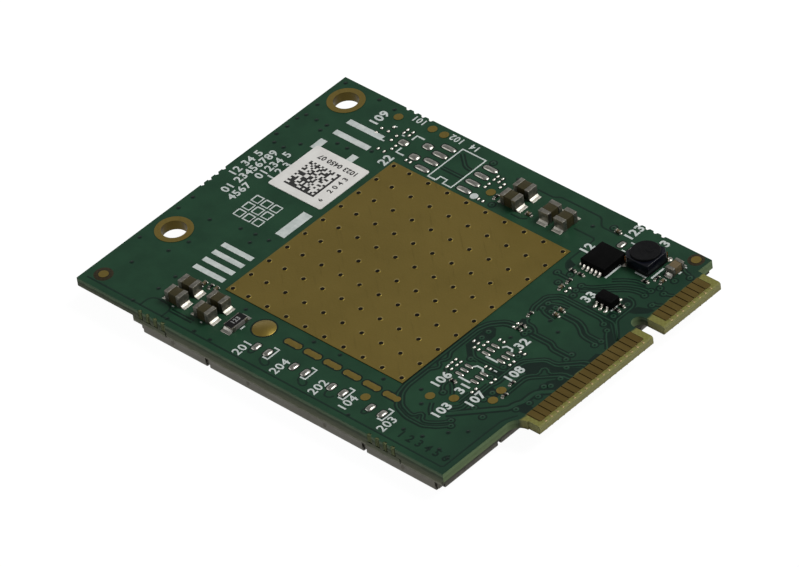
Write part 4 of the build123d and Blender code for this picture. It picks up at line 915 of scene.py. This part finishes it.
def pillows(name, node, rise, along=0.0, across=0.0, halo=0.1, finish=solder):
    """One pillow of tin on each pad of a node, in the ring that the mask leaves, standing for that node."""
    builder = bmesh.new()
    for low, high in islands(node):
        length, width = high.x - low.x + along * MM, high.y - low.y + across * MM
        middle = Vector(((low.x + high.x) / 2, (low.y + high.y) / 2, board_top + 0.004 * MM))
        # A darker ring round each pad: the gap that the mask leaves, with painted shade at the pillow's foot.
        ring = add_block(halo_builder, middle, (length + 2 * halo * MM, width + 2 * halo * MM, halo_height))
        upright = [edge for edge in {edge for vertex in ring for edge in vertex.link_edges}
                   if abs(edge.verts[0].co.z - edge.verts[1].co.z) > halo_height / 2]
        bmesh.ops.bevel(halo_builder, geom=upright, offset=min(length, width) * halo_corner, affect="EDGES",
                        offset_type="OFFSET", segments=2, profile=0.5, material=-1, clamp_overlap=True)
        made = bmesh.ops.create_uvsphere(builder, u_segments=20, v_segments=6, radius=1.0)
        for vertex in made["verts"]:
            round_part = vertex.co.copy()
            square = (round_part.x ** 4 + round_part.y ** 4) ** 0.25
            swell = math.hypot(round_part.x, round_part.y) / square if square > 0.001 else 1.0
            x, y = round_part.x * swell * length / 2, round_part.y * swell * width / 2
            vertex.co = middle + Vector((x, y, round_part.z * rise * MM))
    piece = keep_piece(name, builder, finish)
    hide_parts(node)


pillows("chip_pad_tin", "chip_footprint", 0.15)
pillows("diode_pad_tin", "diode_footprint", 0.16)
pillows("lamp_pad_tin", "lamp_footprints", 0.15)
pillows("transistor_pad_tin", "transistor_footprints", 0.1, 0.02, -0.08)
pillows("jumper_pad_tin", "jumper_footprint", 0.13)
pillows("small_pad_tin", "small_bare_pads", 0.13, -0.06, -0.01, 0.08, bright_tin)
halo_finish = covered_finish("mask_gap_and_shade_by_pads", tone(9, 24, 18), 0.5)
keep_piece("pad_clearings_and_shade", halo_builder, halo_finish, False)

# Large chip capacitors
# A stack of ceramic and metal foils is pressed, cut, tumbled and fired, so its edges are round.
# The ends are dipped in metal and tinned, and the solder climbs them.
flat_angle = math.radians(2)
edge_angle = math.radians(25)


def tumbled(name, node, radius, finish, segments=3):
    """A copy of a node with rounded edges, standing for that node."""
    builder = bmesh.new()
    builder.from_mesh(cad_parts[node].data)
    bmesh.ops.remove_doubles(builder, verts=builder.verts, dist=weld_reach)
    bmesh.ops.dissolve_limit(builder, angle_limit=flat_angle, verts=builder.verts, edges=builder.edges,
                             use_dissolve_boundaries=False, delimit={"NORMAL"})
    sharp = [edge for edge in builder.edges if len(edge.link_faces) == 2
             and edge.calc_face_angle(0) > edge_angle]
    bmesh.ops.bevel(builder, geom=sharp, offset=radius * MM, offset_type="OFFSET", affect="EDGES",
                    segments=segments, profile=0.5, material=-1, clamp_overlap=True)
    piece = keep_piece(name, builder, finish)
    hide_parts(node)
    return piece


def ceramic_finish(name, colour, darker, speckle):
    """Fired ceramic with a fine speckle."""
    return grained_finish(name, darker, colour, speckle, 1500.0, 0.002, "Speckle", Roughness=0.42,
                          Specular_IOR_Level=0.15)


tinned, tree, shader = new_finish("tinned_end", Metallic=1.0)
grains = use_effect(tree, grain, Speckle=9000.0, Mottle=2600.0)
lines = use_effect(tree, scratches, Along=2500.0, Across=16000.0, Turn=0.0)
end_tones = mix_tones(tree, grains["Mottle"], tone(114, 111, 103), tone(144, 141, 131))
tree.links.new(end_tones, shader.inputs["Base Color"])
tree.links.new(between(tree, grains["Speckle"], 0.0, 1.0, 0.32, 0.5), shader.inputs["Roughness"])
bump(tree, shader, compute(tree, "MULTIPLY_ADD", lines["Lines"], -0.5, grains["Speckle"]), 0.005)
olive_ceramic = ceramic_finish("olive_ceramic", tone(60, 55, 33), tone(48, 44, 26), 9000.0)
tan_ceramic = ceramic_finish("tan_ceramic", tone(108, 94, 69), tone(90, 78, 56), 8000.0)
black_glaze = ceramic_finish("black_glaze", tone(18, 18, 18), tone(11, 11, 11), 8000.0)
tumbled("rounded_capacitors", "capacitor_bodies", 0.03, olive_ceramic)
tumbled("rounded_capacitor_ends", "capacitor_ends", 0.06, tinned)
dull_tin = grained_finish("dull_tin", tone(160, 157, 147), tone(184, 181, 171), 5200.0, 1800.0, Metallic=1.0,
                          Roughness=0.5)
tumbled("capacitor_joints", "capacitor_solder", 0.08, dull_tin)

# Chip resistor and input capacitor
# The resistor is a grey ceramic tile with a black glazed face, wrapped in tin at both ends.
# The input capacitor has a light brown body.
grey_tile = ceramic_finish("grey_tile", tone(116, 114, 109), tone(100, 98, 94), 8000.0)
tumbled("glazed_resistor", "resistor_body", 0.02, grey_tile)
tumbled("resistor_caps", "resistor_ends", 0.04, tinned)
tumbled("resistor_joints", "resistor_solder", 0.07, solder)
tumbled("rounded_input_capacitor", "input_capacitor_body", 0.03, tan_ceramic)
tumbled("rounded_input_ends", "input_capacitor_ends", 0.05, tinned)
tumbled("input_joints", "input_capacitor_solder", 0.07, solder)
tile_low, tile_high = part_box("resistor_body")
face_builder = bmesh.new()
face_size = Vector((tile_high.x - tile_low.x - 0.2 * MM, tile_high.y - tile_low.y + 0.22 * MM, 0.02 * MM))
face_middle = (tile_low + tile_high) / 2
face_middle.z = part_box("resistor_ends")[1].z
add_block(face_builder, face_middle, face_size)
keep_piece("resistor_face", face_builder, black_glaze, False)
resistor_ink = grained_finish("resistor_ink", tone(120, 120, 118), tone(160, 160, 158), 9000.0, 4000.0,
                              Roughness=0.5)
resistor_builder = bmesh.new()
right, down, tile_face = off_board(face_middle + Vector((0, 0, face_size.z / 2)))
print_number(resistor_builder, "123", right, down, 0.5, quarter_turn, tile_face, tile_face + 0.006, 0.012)
keep_piece("resistor_number", resistor_builder, resistor_ink, False)


# Small chip parts
# Tiny capacitors with a light brown body and resistors with a black one stand between their tinned ends.
# Each end stands in its own drop of tin, which is wider across the part than along it.
def add_drop(builder, middle, size, sides=12, rows=7):
    """An upright round drop about its middle, with its three half sizes, in metres."""
    bmesh.ops.create_uvsphere(builder, u_segments=sides, v_segments=rows, radius=1.0,
                              matrix=Matrix.Translation(middle) @ Matrix.Diagonal((*size, 1)))


tumbled("small_capacitors", "small_capacitor_bodies", 0.03, tan_ceramic, 2)
tumbled("small_resistors", "small_resistor_bodies", 0.02, black_glaze, 2)
tumbled("small_ends", "small_part_ends", 0.035, tinned, 2)
drop_builder = bmesh.new()
bodies = islands("small_capacitor_bodies") + islands("small_resistor_bodies")
centres = [(low + high) / 2 for low, high in bodies]
for low, high in islands("small_part_ends"):
    end = (low + high) / 2
    body = min(centres, key=lambda spot: (spot - end).length)
    away = Vector((end.x - body.x, end.y - body.y, 0)).normalized()
    spread = Vector((0.14 + 0.06 * abs(away.y), 0.14 + 0.06 * abs(away.x), 0.13)) * MM
    middle = Vector((end.x, end.y, board_top)) + away * 0.11 * MM
    add_drop(drop_builder, middle, spread)
keep_piece("small_part_drops", drop_builder, solder)

# Regulator and transistor
# The regulator and the transistor are moulded in black epoxy with a fine matt grain.
# Their leads are tinned and soldered down, each with its toe in a drop of tin.
epoxy = grained_finish("black_epoxy", tone(5, 5, 5), tone(9, 9, 9), 12000.0, 900.0, 0.004, Roughness=0.6,
                       Specular_IOR_Level=0.03)
tumbled("rounded_regulator", "regulator_body", 0.02, epoxy, 2)
tumbled("rounded_transistor", "transistor_body", 0.03, epoxy, 2)
tumbled("regulator_joints", "regulator_toes", 0.05, bright_tin)
tumbled("transistor_legs", "transistor_leads", 0.03, bright_tin, 2)
foot_builder = bmesh.new()
toe_drop = Vector((0.19, 0.27, 0.13)) * MM
corner_drop = Vector((0.2, 0.26, 0.2)) * MM
body_mid = sum(corner.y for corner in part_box("transistor_body")) / 2
for low, high in islands("transistor_leads"):
    outward = 1 if (low.y + high.y) / 2 > body_mid else -1
    tip_y = high.y if outward > 0 else low.y
    middle = Vector(((low.x + high.x) / 2, tip_y - outward * 0.02 * MM, board_top + 0.01 * MM))
    add_drop(foot_builder, middle, toe_drop)
body_low, body_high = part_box("regulator_body")
for x, y in ((body_low.x, body_high.y), (body_low.x, body_low.y + 0.2 * MM)):
    add_drop(foot_builder, (x - 0.1 * MM, y, board_top), corner_drop)
keep_piece("lead_joints", foot_builder, bright_tin)

# Power inductor
# A ferrite drum sits in a square ferrite ring on a plastic base, with its copper winding between them.
# The wire's two ends are led to the clips at two corners and soldered.
ferrite = grained_finish("dark_ferrite", tone(11, 11, 12), tone(18, 18, 19), 8000.0, 1200.0, 0.005,
                         Roughness=0.55, Specular_IOR_Level=0.07)
# The ring's near black is tinted blue: a painted bluish sheen over its lacquer.
lacquer = grained_finish("lacquered_ferrite", tone(8, 9, 14), tone(14, 16, 26), 5000.0, 900.0, 0.006,
                         swell="Mottle", Roughness=0.3, Specular_IOR_Level=0.12, Coat_Weight=0.12,
                         Coat_Roughness=0.15)
core_low, core_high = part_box("inductor_core")
core_mid = (core_low + core_high) / 2
worn_ring = tumbled("rounded_inductor_ring", "inductor_ring", 0.09, lacquer)
corner_reach = (core_high.x - core_low.x) / 2 + 0.1 * MM
chipped_share = 0.75
for vertex in worn_ring.data.vertices:
    beyond = (core_mid.x - vertex.co.x + vertex.co.y - core_mid.y) / math.sqrt(2) - corner_reach
    if beyond > 0:
        vertex.co += Vector((1, -1, 0)) * beyond * chipped_share / math.sqrt(2)
dress("inductor_core", ferrite)
dress("inductor_base", ferrite)
core_face = off_board(core_high)[2]
relief_builder = bmesh.new()
right, down = off_board(core_mid)[:2]
print_number(relief_builder, "10", right, down, 1.1, 60, core_face - 0.005, core_face + 0.02, 0.03)
keep_piece("inductor_number", relief_builder, ferrite, False)
dress("inductor_clips", tinned)
wire_copper = grained_finish("wire_copper", tone(120, 72, 36), tone(170, 110, 58), 6000.0, 2500.0,
                             Metallic=1.0, Roughness=0.3)
dress("inductor_winding", wire_copper)
lead_builder = bmesh.new()
blob_builder = bmesh.new()
wire_radius = 0.06 * MM
lead_length = 0.65 * MM
lead_rise = Vector((0, 0, 0.5)) * MM
for low, high in islands("inductor_clips"):
    clip = (low + high) / 2
    outward = Vector((clip.x - core_mid.x, clip.y - core_mid.y, 0)).normalized()
    along = Vector((-outward.y, outward.x, 0))
    foot = Vector((clip.x, clip.y, board_top))
    slope = outward.cross(along).to_track_quat("Z", "Y").to_matrix().to_4x4()
    for shift in (-0.16, 0.16):
        middle = foot + lead_rise + outward * wire_radius + along * shift * MM
        add_round(lead_builder, middle, wire_radius, wire_radius, lead_length, 12, slope)
    for distance, size in ((0.1, (0.19, 0.19, 0.2)), (0.2, (0.36, 0.36, 0.16))):
        add_drop(blob_builder, foot + outward * distance * MM, Vector(size) * MM, 16, 9)
keep_piece("inductor_wire_ends", lead_builder, wire_copper)
keep_piece("inductor_clip_tin", blob_builder, solder)

# Shield cover and frame
# The cover is one sheet of nickel silver, cut and folded, with dimples that snap into the frame's windows.
# The sheet is dull, with rolling lines and smudges. Its colour runs by height, lighter at the bottom and top
# and darker between, as painted light and shade, and faces that look right are painted darker as shade.
sheet_metal, tree, shader = new_finish("nickel_silver", Metallic=1.0)
grains = use_effect(tree, grain, Speckle=2600.0, Mottle=260.0)
lines = use_effect(tree, scratches, Along=120.0, Across=4200.0, Turn=0.0)
sheet_low, sheet_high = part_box("shield_cover")
height = axes_of(tree, "ShaderNodeTexCoord", "Object")[2]
# Painted light and shade: the colour runs by height, lighter at the bottom and the top, darker between.
painted_light_by_height = banded(tree, between(tree, height, sheet_low.z, sheet_high.z),
              [(0.0, tone(99, 97, 88)), (0.3, tone(79, 77, 69)), (0.7, tone(85, 83, 75)),
               (1.0, tone(106, 106, 96))])
smudged_and_shaded = mix_tones(tree, grains["Mottle"], painted_light_by_height, tone(91, 89, 81))
facing = axes_of(tree, "ShaderNodeNewGeometry", "True Normal")[0]
# Painted shade: faces that look to the right turn darker.
smudged_and_shaded = mix_tones(tree, between(tree, facing, 0.3, 0.9, 0.0, 0.45), smudged_and_shaded, tone(20, 19, 16))
speckled = mix_tones(tree, grains["Speckle"], tone(84, 82, 75), smudged_and_shaded)
tree.links.new(speckled, shader.inputs["Base Color"])
tree.links.new(between(tree, grains["Mottle"], 0.0, 1.0, 0.42, 0.55), shader.inputs["Roughness"])
bump(tree, shader, compute(tree, "MULTIPLY_ADD", lines["Lines"], -0.4, grains["Speckle"]), 0.004)
dress("shield_cover", sheet_metal)
dress("shield_frame", sheet_metal)

# Antenna connectors
# Two tiny gold-plated rings with a centre pin stand in white heat-proof plastic under the bare strip.
# Their tabs are soldered to the board beside the module.
plastic = grained_finish("connector_plastic", tone(196, 188, 170), tone(208, 201, 186), 5000.0, 900.0, 0.003,
                         Roughness=0.5)
dress("antenna_bases", plastic)
for name in ("antenna_shells", "antenna_pins", "antenna_tabs"):
    dress(name, contact_gold)

# Inside the shield
# The module's board carries moulded chips, metal-lidded filters, coils and capacitors.
# A soft pad carries the processor's heat to the cover.
for name in ("processor", "memory_package", "power_manager", "radio_transceiver", "power_amplifiers",
             "antenna_switches"):
    dress(name, epoxy)
for name in ("band_filters", "reference_oscillator"):
    dress(name, sheet_metal)
dress("power_inductors", ferrite)
dress("module_capacitors", tan_ceramic)
dress("module_joints", solder)
gap_pad = grained_finish("gap_pad", tone(120, 126, 134), tone(142, 148, 156), 2500.0, 500.0, 0.01,
                         Roughness=0.8)
dress("processor_thermal_pad", gap_pad)
